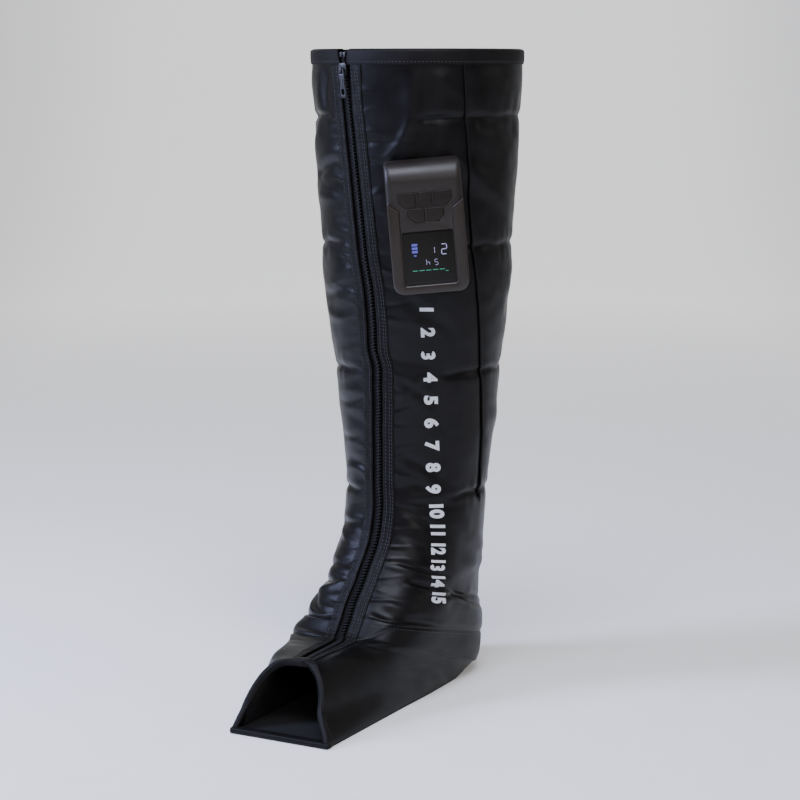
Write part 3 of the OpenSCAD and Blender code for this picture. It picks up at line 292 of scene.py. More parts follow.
def relief(t, s, u):
    """Height in millimetres of the leg's outer cloth over the plain outer face."""
    t, s, u = np.broadcast_arrays(t, s, u)
    start = np.where(u > 0, BLADDER_S - 24, SLOT_HALF + FACING_INNER)
    cushioned = ramp(np.abs(s), start, start + 26)
    back = 100 * (1 - np.abs(u))
    own = ramp(back, 0.5, 5)  # what differs between the two sides fades towards the back seam
    high = np.zeros(t.shape)
    weld_depth = WELD_DEPTH * (1 - 0.45 * ramp(s, SEAM_S - 8, SEAM_S + 24))
    wander = 0.022 * own * soft_noise(s / 19, np.sign(u) * 7.3 + 0 * t, 3)
    for k, weld in enumerate(WELDS):
        off = 100 * (t - weld - wander * (1 + 0.2 * k))
        gather = 0.5 + 0.5 * own * soft_noise(s / 6.5, 0 * t + 3.7 * k, 31 + k)
        high -= weld_depth * bump(off, 3.4) * cushioned * (0.75 + 0.4 * gather)
        high += 0.8 * cushioned * (gather - 0.5) * (bump(off - 8, 8) + bump(off + 8, 8))
    for a, b in zip([0.12] + WELDS, WELDS + [T_SEAM]):
        inside = np.clip((t - a) / (b - a), 0, 1)
        high += 1.5 * cushioned * np.sqrt(np.clip(np.sin(math.pi * inside), 0, 1))
    for fold in FOLDS:
        high += crease(t, s, *fold) * own
    edge = np.where(u > 0, SLOT_HALF + FACING_OUTER, SLOT_HALF + FACING_INNER)
    away = np.abs(s) - edge
    for puckers, side in ((OUTER_PUCKERS, u > 0), (INNER_PUCKERS, u < 0)):
        for t0, width, length, slope, height in puckers:
            line = 100 * (t - t0) - slope * away
            fade = ramp(away, -9, 2) * np.exp(-np.clip(away, 0, None) / length)
            high += np.where(side, height * bump(line, width) * fade, 0)
    high += own * (0.75 * soft_noise(s / 34, t * 100 / 27, 5) + 0.35 * soft_noise(s / 13, t * 100 / 11, 6))
    high -= 1.3 * bump(back, 1.2)  # the back seam
    seam = np.where(u > 0, s - SEAM_S, 99)
    high -= 1.0 * bump(seam, 5.0) * (1 - ramp(t, 4.3, 4.6))  # the side seam lies in a groove
    calm = ramp(np.abs(s), SLOT_HALF + 1, edge + 4)  # the zipper and its facings hold the cloth flat
    calm *= ramp(100 * t, 9, 24) * (1 - ramp(t, T_SEAM - 0.09, T_SEAM - 0.01))
    on_dock = ((1 - ramp(np.abs(s - PUMP_S), 34, 44)) * (1 - ramp(np.abs(t - T_PUMP), 0.5, 0.62)))
    return high * calm * (1 - np.where(u > 0, on_dock, 0)) + seam_groove(t, s)


def foot_relief(t, s, u):
    """Height in millimetres of the foot's smooth cloth over the plain outer face."""
    t, s, u = np.broadcast_arrays(t, s, u)
    high = 0.9 * soft_noise(s / 46, t * 100 / 60, 8) + 0.3 * soft_noise(s / 17, t * 100 / 21, 9)
    for fold in FOOT_FOLDS:
        high += crease(t, s, *fold)
    calm = ramp(np.abs(s), SLOT_HALF + 2, 24) * (1 - ramp(np.abs(u), 0.86, 0.98) * ramp(t, 7, 7.4))
    calm *= 1 - ramp(np.abs(u), 0.94, 0.99)
    return (high * calm * ramp(t, T_SEAM + 0.01, T_SEAM + 0.15) * (1 - ramp(t, T_TOE - 0.5, T_TOE - 0.1))
            + seam_groove(t, s))


def cloth_high(t, s, u):
    return np.where(np.asarray(t) <= T_SEAM, relief(t, s, u), foot_relief(t, s, u))


def skin(t, s, h=0.0, follow=True):
    """Points in metres at t and s, h millimetres above the cloth, or above the plain face."""
    t, s, h = np.broadcast_arrays(np.asarray(t, float), np.asarray(s, float), np.asarray(h, float))
    u = s / pace(t)
    point, out = face(t, u + sway(t) * bump(s, 40) / pace(t))
    height = h + (cloth_high(t, s, u) if follow else 0)
    return (point + out * height[..., None]) * MM


def outward(t, s):
    return face(t, np.asarray(s, float) / pace(np.asarray(t, float)))[1]


# ---------------------------------------------------------------- meshes

def add_object(name, mesh):
    made = bpy.data.objects.new(name, mesh)
    bpy.context.scene.collection.objects.link(made)
    return made


def mesh_from(name, points, faces, uv=None, smooth=True):
    mesh = bpy.data.meshes.new(name)
    mesh.from_pydata(np.asarray(points, float).tolist(), [], [list(map(int, f)) for f in faces])
    mesh.polygons.foreach_set("use_smooth", [smooth] * len(mesh.polygons))
    if uv is not None:
        corner = np.zeros(len(mesh.loops), np.int32)
        mesh.loops.foreach_get("vertex_index", corner)
        layer = mesh.uv_layers.new(name="cloth")
        layer.data.foreach_set("uv", np.asarray(uv, np.float32)[corner].ravel())
    mesh.update()
    return mesh


def open_edges(faces):
    """The edges that only one face has, in the direction in which it has them."""
    edges = dict.fromkeys((a, b) for f in faces for a, b in zip(f, f[1:] + f[:1]))
    return [(a, b) for a, b in edges if (b, a) not in edges]


def wall(name, outer, inner, uv, keep=None):
    """A closed sheet between two grids of points. keep marks the cells that are there."""
    rows, cols = outer.shape[:2]
    size = rows * cols
    index = np.arange(size).reshape(rows, cols)
    quads = np.stack([index[:-1, :-1], index[:-1, 1:], index[1:, 1:], index[1:, :-1]], -1)
    quads = (quads[keep] if keep is not None else quads.reshape(-1, 4))[:, ::-1]
    rim = open_edges(quads.tolist())
    sides = [(b, a, a + size, b + size) for a, b in rim]
    faces = quads.tolist() + (quads[:, ::-1] + size).tolist() + sides
    points = np.concatenate([outer.reshape(-1, 3), inner.reshape(-1, 3)])
    used, new = np.unique(np.concatenate([np.ravel(f) for f in faces]), return_inverse=True)
    lookup = np.zeros(2 * size, int)
    lookup[used] = np.arange(len(used))
    faces = [[lookup[i] for i in f] for f in faces]
    both = np.concatenate([uv.reshape(-1, 2)] * 2)[used]
    mesh = mesh_from(name, points[used], faces, both)
    sharp = mesh.attributes.new("sharp_edge", "BOOLEAN", "EDGE")
    borders = {tuple(sorted((lookup[a + k], lookup[b + k]))) for a, b in rim for k in (0, size)}
    sharp.data.foreach_set("value", [tuple(sorted(e.vertices)) in borders for e in mesh.edges])
    return add_object(name, mesh)


# Thicknesses of the layers and their depths below the outer face
CLOTH_T, LAYER_GAP, BLADDER_T, LINING_T, HEM_T, TAPE_T = 1, 0.4, 4.6, 0.8, 1, 0.8
BLADDER_H = -CLOTH_T - LAYER_GAP
LINING_H = BLADDER_H - BLADDER_T - 1.5 * LAYER_GAP
TAPE_H = -CLOTH_T - 1.5 * LAYER_GAP
FOOT_LINING_H = TAPE_H - TAPE_T - LAYER_GAP


def spread(a, b, step):
    """Numbers from a to b, about step apart."""
    return np.linspace(a, b, max(1, round(abs(b - a) / step)) + 1)


def gone(points, axis):
    """Distance gone along one direction of a grid, in units of 100 mm."""
    steps = np.linalg.norm(np.diff(points, axis=axis), axis=-1) * 10
    start = np.zeros_like(np.take(steps, [0], axis))
    return np.concatenate([start, np.cumsum(steps, axis)], axis)


def cloth_uv(points, s, t):
    """The cloth's flat coordinates in units of 100 mm: across it, and down it from the rim."""
    return np.stack([gone(points, 1) + s[:, :1] / 100, gone(points, 0) + t[:1]], -1)


def cloth(name, ts, edges, cols, high=0.0, thick=1.0, keep=None, below=None):
    """A closed layer of cloth. ts are its rows, edges gives s at both sides, and cols are its columns
    from 0 to 1. below keeps it under the outer cloth, at this plain height."""
    t = np.asarray(ts)[:, None]
    a, b = edges(t)
    s = a + (b - a) * cols
    t = t + 0 * s
    if below is None:
        outer, inner = skin(t, s, high), skin(t, s, high - thick)
    else:
        top = np.minimum(below(t), cloth_high(t, s, s / pace(t)) - CLOTH_T - 0.25)
        outer, inner = skin(t, s, top, False), skin(t, s, top - thick, False)
    return wall(name, outer, inner, cloth_uv(outer, s, t), keep)


def join(name, pieces):
    """One object with the meshes of all the pieces."""
    with bpy.context.temp_override(active_object=pieces[0], selected_editable_objects=pieces):
        bpy.ops.object.join()
    pieces[0].name = name
    return pieces[0]


def dress(piece, body, slot, made, *nodes):
    """The calls that every new piece needs."""
    piece.data.materials.clear()
    piece.data.materials.append(made)
    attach(piece, body)
    if nodes:
        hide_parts(*nodes)
    return piece


# ---------------------------------------------------------------- materials

def linear(colour):
    """A colour written as sRGB hex, in the linear values that shaders take."""
    parts = [int(colour[k:k + 2], 16) / 255 for k in (0, 2, 4)]
    return [c / 12.92 if c <= 0.04045 else ((c + 0.055) / 1.055) ** 2.4 for c in parts] + [1]


def node(tree, kind, values=None, **settings):
    """Adds a node. values are its inputs by name or number: a socket is linked, the rest is set."""
    made = tree.nodes.new(kind)
    for key, value in settings.items():
        setattr(made, key, value)
    for key, value in (values or {}).items():
        if isinstance(value, bpy.types.NodeSocket):
            tree.links.new(value, made.inputs[key])
        else:
            made.inputs[key].default_value = value
    return made


def material(name, **shader):
    """A material whose shader has these constant settings."""
    made = bpy.data.materials.new(name)
    made.use_nodes = True
    tree = made.node_tree
    bsdf = tree.nodes["Principled BSDF"]
    for key, value in shader.items():
        bsdf.inputs[key.replace("_", " ")].default_value = value
    return made, tree, bsdf


def shade(tree, bsdf, colour, roughness, height, strength, depth):
    """Links the patterns of a material to its shader. depth is the relief's height in metres."""
    lumps = node(tree, "ShaderNodeBump", {"Strength": strength, "Distance": depth, "Height": height})
    for key, pattern in (("Base Color", colour), ("Roughness", roughness), ("Normal", lumps.outputs[0])):
        tree.links.new(pattern, bsdf.inputs[key])


def woven(name, dark, light, pitch, rough, twill=False, sheen=0.0, gloss=0.3, fuzz=0.25, depth=0.00012,
          soil="000000"):
    """Woven or knitted cloth on the piece's own UV map, which counts in units of 100 mm. pitch is the
    drawn thread spacing in millimetres."""
    made, tree, bsdf = material(name, Sheen_Weight=sheen, Sheen_Roughness=0.45, Specular_IOR_Level=gloss)
    place = node(tree, "ShaderNodeUVMap", uv_map="cloth").outputs[0]
    mm = node(tree, "ShaderNodeVectorMath", {0: place, 1: (100 / pitch,) * 3}, operation="MULTIPLY")
    xy = node(tree, "ShaderNodeSeparateXYZ", {0: mm.outputs[0]})
    x, y = xy.outputs[0], xy.outputs[1]
    if twill:
        x = node(tree, "ShaderNodeMath", {0: x, 1: y}, operation="ADD").outputs[0]
    waves, rounds = [], []  # each thread's wave, which says what lies on top, and its round back
    for way in (x, y):
        turns = node(tree, "ShaderNodeMath", {0: way, 1: math.pi}, operation="MULTIPLY").outputs[0]
        waves.append(node(tree, "ShaderNodeMath", {0: turns}, operation="SINE").outputs[0])
        rounds.append(node(tree, "ShaderNodeMath", {0: waves[-1]}, operation="ABSOLUTE").outputs[0])
    over = node(tree, "ShaderNodeMath", {0: waves[0], 1: waves[1]}, operation="MULTIPLY").outputs[0]
    side = node(tree, "ShaderNodeMapRange", {0: over, 1: -0.3, 2: 0.3}).outputs[0]
    threads = node(tree, "ShaderNodeMix", {0: side, 2: rounds[0], 3: rounds[1]},
                   data_type="FLOAT").outputs[0]
    cloudy = node(tree, "ShaderNodeTexNoise", {"Vector": mm.outputs[0], "Scale": 0.035 * pitch,
                                               "Detail": 4}).outputs[0]
    hairs = node(tree, "ShaderNodeTexNoise", {"Vector": mm.outputs[0], "Scale": 1.7,
                                              "Detail": 3}).outputs[0]
    tone = node(tree, "ShaderNodeMath", {0: threads, 1: cloudy}, operation="MULTIPLY").outputs[0]
    base = node(tree, "ShaderNodeMix", {0: tone, 6: linear(dark), 7: linear(light)},
                data_type="RGBA").outputs[2]
    worn = node(tree, "ShaderNodeMapRange", {0: cloudy, 1: 0.35, 2: 0.75, 3: 0.0, 4: 0.35}).outputs[0]
    base = node(tree, "ShaderNodeMix", {0: worn, 6: base, 7: linear(soil)}, data_type="RGBA").outputs[2]
    matt = node(tree, "ShaderNodeMapRange", {0: cloudy, 1: 0.3, 2: 0.7, 3: rough - 0.05, 4: rough + 0.07})
    fine = node(tree, "ShaderNodeMix", {0: fuzz, 2: threads, 3: hairs}, data_type="FLOAT").outputs[0]
    shade(tree, bsdf, base, matt.outputs[0], fine, 0.55, depth)
    return made


def moulded(name, colour, worn, rough, grain=0.45, depth=0.00003, coat=0.0, ior=1.5, metal=0.0, gloss=0.5):
    """Moulded plastic, rubber or cast metal on Object coordinates. grain is the size of the surface's
    sparks in millimetres, drawn as coarse as it needs to show."""
    streak = 0.12  # how far the roughness goes up and down over the piece
    made, tree, bsdf = material(name, Coat_Weight=coat, Coat_Roughness=0.12, Metallic=metal,
                                Specular_IOR_Level=gloss)
    if not metal:
        bsdf.inputs["IOR"].default_value = ior
    place = node(tree, "ShaderNodeTexCoord").outputs["Object"]
    sparks = node(tree, "ShaderNodeTexNoise", {"Vector": place, "Scale": 1000 / (3 * grain), "Detail": 4,
                                               "Roughness": 0.6}).outputs[0]
    broad = node(tree, "ShaderNodeTexNoise", {"Vector": place, "Scale": 26, "Detail": 3}).outputs[0]
    # Convex edges take the lighter worn colour: partly rubbed wear, partly a painted highlight on the rims
    edge = node(tree, "ShaderNodeNewGeometry").outputs["Pointiness"]
    worn_and_highlit_edges = node(tree, "ShaderNodeMapRange", {0: edge, 1: 0.52, 2: 0.6}).outputs[0]
    fresh = node(tree, "ShaderNodeMix", {0: broad, 6: linear(colour), 7: linear(worn)}, data_type="RGBA")
    base = node(tree, "ShaderNodeMix", {0: worn_and_highlit_edges, 6: fresh.outputs[2], 7: linear(worn)},
                data_type="RGBA").outputs[2]
    matt = node(tree, "ShaderNodeMapRange", {0: broad, 1: 0.3, 2: 0.7, 3: rough * (1 - streak),
                                             4: rough * (1 + streak)})
    shade(tree, bsdf, base, matt.outputs[0], sparks, 0.5, depth)
    return made


def glowing(name, colour, power):
    """A lit segment behind the lens, in one even colour."""
    made, tree, bsdf = material(name, Roughness=0.5)
    place = node(tree, "ShaderNodeTexCoord").outputs["Object"]
    even = node(tree, "ShaderNodeTexNoise", {"Vector": place, "Scale": 300, "Detail": 2}).outputs[0]
    lit = node(tree, "ShaderNodeMix", {0: even, 6: linear(colour), 7: linear(colour)}, data_type="RGBA")
    bsdf.inputs["Base Color"].default_value = linear(colour)
    tree.links.new(lit.outputs[2], bsdf.inputs["Emission Color"])
    bsdf.inputs["Emission Strength"].default_value = power
    return made


# Calendered nylon taffeta, coated inside to hold air chambers: near black with a cool satin light
NYLON = woven("satin nylon taffeta", "050405", "0a090b", 0.9, 0.36, gloss=0.19, soil="0f0d10",
              depth=0.00006)
# The same cloth uncoated and softer, for the foot: darker and with less light
FOOT_NYLON = woven("soft nylon taffeta", "050505", "0b0a0c", 0.9, 0.42, gloss=0.17, soil="0f0e10",
                   depth=0.00007)
# Rubber-dotted nylon oxford under the foot: coarse weave, no light
OXFORD = woven("nylon oxford", "050506", "0e0e10", 1.4, 0.7, soil="0c0c0e", depth=0.0003)
# Brushed tricot next to the leg: soft, dull, with a short nap
TRICOT = woven("brushed tricot knit", "060607", "101114", 1.1, 0.85, sheen=0.08, gloss=0.15, fuzz=0.7,
               soil="131418", depth=0.0003)
# Folded satin binding tape: denser than the cloth, with a sharper light on its fold
BINDING = woven("folded binding tape", "060506", "100e0e", 0.7, 0.55, twill=True, gloss=0.17, soil="161312",
                depth=0.0001)
# Grosgrain facing beside the zipper: ribbed, slightly warm from wear
FACING = woven("grosgrain facing tape", "060505", "0e0c0b", 1.0, 0.55, gloss=0.15, soil="110f0d",
               depth=0.00012)
# Herringbone zipper tape in polyester: dull black
TAPE = woven("woven polyester zipper tape", "030303", "080808", 0.8, 0.75, twill=True, gloss=0.15,
             soil="080808", depth=0.00015)
# Bonded polyester sewing thread: round and slightly shiny, so each stitch catches a dot of light
THREAD = moulded("bonded polyester thread", "17181b", "2b2d31", 0.42, grain=0.2, depth=0.00002)
# Injection-moulded acetal teeth: dark grey, waxy
ACETAL = moulded("moulded acetal", "060606", "111112", 0.5, grain=0.3, ior=1.48, gloss=0.2)
# Lacquered zinc die casting: black lacquer over metal, worn bright on its edges
ZINC = moulded("lacquered die-cast zinc", "0a0a0b", "26272a", 0.4, grain=0.25, coat=0.15, metal=0.4)
# Polyurethane film of the air chambers: milky and soft
FILM = moulded("polyurethane film", "5c636f", "7d8592", 0.4, grain=0.8, depth=0.00005)
# Extruded silicone hose: cloudy grey, waxy
HOSE = moulded("extruded silicone hose", "767d88", "9aa1ab", 0.45, grain=0.6, ior=1.42)
# Injection-moulded ABS with a fine spark texture: warm brown-black satin
CASE = moulded("satin moulded ABS", "110d0a", "1c1713", 0.42, grain=0.35, gloss=0.4, depth=0.000012)
# The raised frame is a smoother moulding in the same ABS, a little lighter and warmer
FRAME_ABS = moulded("smooth moulded ABS", "17120f", "261e19", 0.32, grain=0.3, coat=0.1, gloss=0.4,
                    depth=0.000008)
# Keys in fine-textured ABS: darker than the case; their edges are painted much lighter, a painted highlight
# on their rims
KEY_ABS = moulded("fine-textured ABS keys", "050404", "2a2420", 0.3, grain=0.28, gloss=0.22, depth=0.000014)
# Hard-coated acrylic lens, smoked: a dark mirror
LENS = moulded("smoked hard-coated acrylic", "090807", "0f0c0b", 0.12, grain=2.5, gloss=0.25, ior=1.49,
               depth=0.000002)
# Glass-filled nylon of the dock: grey-black and a little rough
DOCK = moulded("glass-filled nylon", "191a1d", "2e3035", 0.5, grain=0.5, ior=1.53, depth=0.00004)
# EVA foam saddle skinned with cloth: dull
FOAM = woven("cloth-skinned EVA foam", "0d0e10", "18191c", 1.0, 0.8, sheen=0.2, soil="1d1e21", depth=0.0002)
# The keypad's moulded silicone: middle grey, matt and waxy
SILICONE = moulded("moulded silicone rubber", "4a4c50", "686b70", 0.6, grain=0.5, ior=1.42)
# Nitrile seals: brick red and matt
NITRILE = moulded("nitrile rubber", "9c3e30", "b86a58", 0.62, grain=0.5, ior=1.52)
# Solder-masked glass laminate: green and glossy over a faint weave
BOARD = moulded("solder mask on glass laminate", "0f4a2a", "1c6b40", 0.3, grain=1.2, coat=0.4, ior=1.55)
# Heat-shrunk sleeve round the cells: saturated blue with a tight shine
CELLS = moulded("heat-shrunk cell sleeve", "1f55a5", "3b74c4", 0.28, grain=1.5, coat=0.3)
# Moulded polycarbonate of the works: pale grey with an even satin light
WORKS = moulded("moulded polycarbonate", "b9bbbe", "d8dadc", 0.38, grain=0.5, ior=1.58)
# Zinc-plated steel: bright, slightly streaked
STEEL = moulded("zinc-plated steel", "8d9095", "c2c5c9", 0.3, grain=0.4, metal=1.0)
# Passivated metal housings of the valves: blue-grey with a broad light
VALVE = moulded("passivated solenoid housing", "3a4a66", "6a7a95", 0.34, grain=0.4, metal=0.7)
# Nickel plate of the charging socket: brighter than the zinc, with a sharper light
SOCKET = moulded("nickel-plated steel", "a9acb1", "d2d4d8", 0.22, grain=0.3, metal=1.0)
# Heat-pressed white print on the cloth: chalky, thin and slightly cracked
PRINT = woven("heat-pressed white print", "c9ccd2", "eceef2", 0.9, 0.6, soil="b0b3ba", depth=0.00005)
# The display's marks: dim coloured light, as it looks through smoked acrylic in a bright room
BLUE_LIGHT = glowing("lit blue battery bars", "4a4a9c", 0.5)
GREEN_LIGHT = glowing("lit green segments", "2c7f66", 0.5)
WHITE_LIGHT = glowing("lit white digits", "8f8cae", 0.5)

# ---------------------------------------------------------------- camera, light and floor

# How far round to the outer side the camera stands, its distance and its height in metres
CAM_TURN, CAM_FAR, CAM_HIGH = math.radians(28.07), 2.150, 0.6199
CAM_RIGHT = (math.cos(CAM_TURN), math.sin(CAM_TURN), 0)
CAM_AHEAD = (-math.sin(CAM_TURN), math.cos(CAM_TURN), 0)
AIM = Vector(CAM_RIGHT) * -0.01669 + Vector((0, 0, 0.28193))
FOCAL, PICTURE, SENSOR = 2149, 800, 36  # the first two in pixels, the last in millimetres

# Matt white studio paper with a painted glow: emission that stands in for the studio's light on the paper.
# The glow is strongest on the backdrop and fades to the sides of the main view
FLOOR = moulded("pale studio paper", "f2f2f0", "f8f8f6", 0.9, grain=4, depth=0.00002)
tree = FLOOR.node_tree
paper = tree.nodes["Principled BSDF"]
paper.inputs["Emission Color"].default_value = linear("ffffff")
place = node(tree, "ShaderNodeTexCoord").outputs["Object"]
side = node(tree, "ShaderNodeVectorMath", {0: place, 1: CAM_RIGHT}, operation="DOT_PRODUCT")
side = node(tree, "ShaderNodeMath", {0: side.outputs["Value"]}, operation="ABSOLUTE").outputs[0]
side = node(tree, "ShaderNodeMapRange", {0: side, 1: 0.8, 2: 2.0, 3: 1.0, 4: 0.12}).outputs[0]
behind = node(tree, "ShaderNodeVectorMath", {0: place, 1: CAM_AHEAD}, operation="DOT_PRODUCT")
behind = node(tree, "ShaderNodeMapRange", {0: behind.outputs["Value"], 1: 0.2, 2: 3.4, 3: 0.12,
                                           4: 0.74}).outputs[0]
painted_glow = node(tree, "ShaderNodeMath", {0: side, 1: behind}, operation="MULTIPLY").outputs[0]
tree.links.new(painted_glow, paper.inputs["Emission Strength"])


def look(obj, at):
    """Points an object's -Z at a place, upright."""
    obj.rotation_euler = (Vector(at) - obj.location).to_track_quat("-Z", "Y").to_euler()


camera = bpy.data.objects.new("camera", bpy.data.cameras.new("camera"))
camera.data.lens = FOCAL * SENSOR / PICTURE
camera.data.sensor_width = SENSOR
camera.data.clip_end = 50
camera.location = (math.sin(CAM_TURN) * CAM_FAR, -math.cos(CAM_TURN) * CAM_FAR, CAM_HIGH)
look(camera, AIM)
bpy.context.scene.collection.objects.link(camera)
bpy.context.scene.camera = camera


def softbox(name, turn, high, far, size, power, colour, at=(0, 0, 0.36)):
    """A large soft lamp. turn is in degrees round from the camera, positive to the viewer's right; high,
    far and size are in metres, and power in watts."""
    lamp = bpy.data.lights.new(name, "AREA")
    lamp.shape = "RECTANGLE"
    lamp.size, lamp.size_y = size
    lamp.energy = power
    lamp.color = linear(colour)[:3]
    made = bpy.data.objects.new(name, lamp)
    a = CAM_TURN + math.radians(turn)
    made.location = (math.sin(a) * far, -math.cos(a) * far, high)
    look(made, at)
    bpy.context.scene.collection.objects.link(made)


softbox("left window", -78, 1.15, 1.5, (0.4, 1.3), 44, "c6d0ff")
softbox("right window", 84, 1.3, 2.4, (0.6, 1.2), 5, "fff0e2")
softbox("overhead", -4, 2.15, 0.95, (1.3, 1.0), 48, "e8ebff")
softbox("front fill", 10, 1.6, 3.0, (1.8, 1.0), 17, "fffaf4")

world = bpy.data.worlds.new("studio")
world.use_nodes = True
world.node_tree.nodes["Background"].inputs["Color"].default_value = linear("f4f4f5")
world.node_tree.nodes["Background"].inputs["Strength"].default_value = 0.24
bpy.context.scene.world = world

# The floor is a wide sheet that curves up into a backdrop behind the sleeve, in metres
FLOOR_HALF, BEND_AT, BEND_R, BACKDROP_H, UNDER_SOLE = 16, 3.4, 1.6, 4.6, 0.0002
bend = [(BEND_AT + BEND_R * math.sin(a), BEND_R - BEND_R * math.cos(a))
        for a in np.linspace(0, math.pi / 2, 25)[1:]]
profile = [(-FLOOR_HALF, 0), (BEND_AT, 0), *bend, (BEND_AT + BEND_R, BACKDROP_H)]
points = [(side * CAM_RIGHT[0] + far * CAM_AHEAD[0], side * CAM_RIGHT[1] + far * CAM_AHEAD[1],
           high - UNDER_SOLE) for side in (-FLOOR_HALF, FLOOR_HALF) for far, high in profile]
count = len(profile)
floor = add_object("studio_floor", mesh_from("studio_floor", points, [
    (k, k + count, k + count + 1, k + 1) for k in range(count - 1)]))
floor.data.materials.append(FLOOR)
floor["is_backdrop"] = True

# ---------------------------------------------------------------- outer cloth, lining and bindings

# s at both sides of each panel, for rows at t
LATERAL = lambda t: (SLOT_HALF + 0 * t, SEAM_S + 0 * t)
BACK = lambda t: (SEAM_S + 0 * t, pace(t))
MEDIAL = lambda t: (-pace(t), -SLOT_HALF + 0 * t)
OUTER_SIDE = lambda t: (SLOT_HALF + 0 * t, pace(t))

# The window in the cloth and the saddle, through which the air nozzles pass
WINDOW_HALF = 16
WINDOW_T = (leg_row(10), leg_row(14))
WINDOW_S = (PUMP_S - WINDOW_HALF, PUMP_S + WINDOW_HALF)
rows = np.concatenate([spread(0, WINDOW_T[0], 0.017), spread(*WINDOW_T, 0.017)[1:],
                       spread(WINDOW_T[1], T_SEAM, 0.017)[1:]])
width = SEAM_S - SLOT_HALF
cols = [(s - SLOT_HALF) / width for s in WINDOW_S]
cols = np.concatenate([spread(0, cols[0], 0.016), spread(*cols, 0.016)[1:], spread(cols[1], 1, 0.016)[1:]])
mid_t, mid_s = (rows[1:] + rows[:-1]) / 2, SLOT_HALF + width * (cols[1:] + cols[:-1]) / 2
in_window = np.outer((mid_t > WINDOW_T[0]) & (mid_t < WINDOW_T[1]),
                     (mid_s > WINDOW_S[0]) & (mid_s < WINDOW_S[1]))

# Name, rows, sides, columns, cells that are there, material and slot
PANELS = [
    ("lateral_panel", rows, LATERAL, cols, ~in_window, NYLON, "padded_cloth"),
    ("back_panel", spread(0, T_SEAM, 0.022), BACK, spread(0, 1, 0.011), None, NYLON, "padded_cloth"),
    ("medial_panel", spread(0, T_SEAM, 0.018), MEDIAL, spread(0, 1, 0.0078), None, NYLON, "padded_cloth"),
    ("foot_panel_lateral", spread(T_SEAM, T_TOE, 0.022), OUTER_SIDE, spread(0, 1, 0.012), None,
     FOOT_NYLON, "foot_cloth"),
    ("foot_panel_medial", spread(T_SEAM, T_TOE, 0.022), MEDIAL, spread(0, 1, 0.012), None,
     FOOT_NYLON, "foot_cloth"),
]
for name, ts, edges, across, keep, made, slot in PANELS:
    piece = dress(cloth(name + "_cloth", ts, edges, across, keep=keep), "sleeve", slot, made, name)

for name, ts, edges, steps, thick, top in [
    ("leg_lining", spread(0, T_SEAM, 0.045), (OUTER_SIDE, MEDIAL), 0.02, LINING_T,
     lambda t: LINING_H + (FOOT_LINING_H - LINING_H) * ramp(t, T_SEAM - 0.6, T_SEAM)),
    ("foot_lining", spread(T_SEAM, T_TOE - 0.03, 0.045), (lambda t: (SLOT_HALF + 0 * t, 0.97 * pace(t)),
                                                       lambda t: (-0.97 * pace(t), -SLOT_HALF + 0 * t)),
     0.025, LINING_T, lambda t: FOOT_LINING_H + 0 * t),
]:
    piece = join(name + "_tricot", [cloth(name, ts, e, spread(0, 1, steps), below=top, thick=thick)
                                    for e in edges])
    dress(piece, "sleeve", "lining", TRICOT, name)


def strip(name, profile, inside, edges, steps):
    """A tape folded along a profile of (t, height) that runs down its outer side, and back on the
    inside. edges gives s at both sides for each t."""
    grids = []
    for line in (profile, inside):
        t = np.array([p[0] for p in line])[:, None]
        h = np.array([p[1] for p in line])[:, None]
        a, b = edges(t)
        s = a + (b - a) * spread(0, 1, steps)
        grids.append((skin(t + 0 * s, s, h + 0 * s, False), s, t + 0 * s))
    return wall(name, grids[0][0], grids[1][0], cloth_uv(*grids[0]))


def folded(high, low, reach, over, thick):
    """The outer and inner profiles of a binding: from the outer face, over the edge, to the inside.
    Reaches and heights are in millimetres, and t is 0 at the edge and positive away from it."""
    lines = []
    for grow in (0, thick):
        top, bottom, tip = high - grow, low + grow, over - grow
        middle, half = (top + bottom) / 2, (top - bottom) / 2
        arc = [(-tip * math.sin(a), middle + half * math.cos(a)) for a in np.linspace(0, math.pi, 11)]
        flat = spread(reach, 0.5, 1.5)
        puff = [0.35 * math.sin(math.pi * (x - 0.5) / (reach - 0.5)) for x in flat]
        lines.append([(x, top + p) for x, p in zip(flat, puff)] + arc + [(x, bottom) for x in flat[::-1]])
    return lines


RIM_REACH, RIM_OVER = 12, 2.6
rim_low = LINING_H - LINING_T - 0.1 - HEM_T


def rim_edges(side):
    """The rim's binding is cut back beside the zipper in a small V."""
    def edges(t):
        near = SLOT_HALF - 0.6 - 2.6 * np.clip(t * 100 / RIM_REACH, 0, 1)
        return (near, pace(t)) if side > 0 else (-pace(t), -near)
    return edges


outside, inside = [[(x / 100, h) for x, h in line]
                   for line in folded(HEM_T + 0.1, rim_low, RIM_REACH, RIM_OVER, HEM_T)]
rim = join("top_binding", [strip("top_binding", outside[::-1], inside[::-1], rim_edges(side), 0.008)
                           for side in (1, -1)])
dress(rim, "sleeve", "binding", BINDING, "top_hem")

TOE_REACH_OUT, TOE_OVER = 8, 1.6


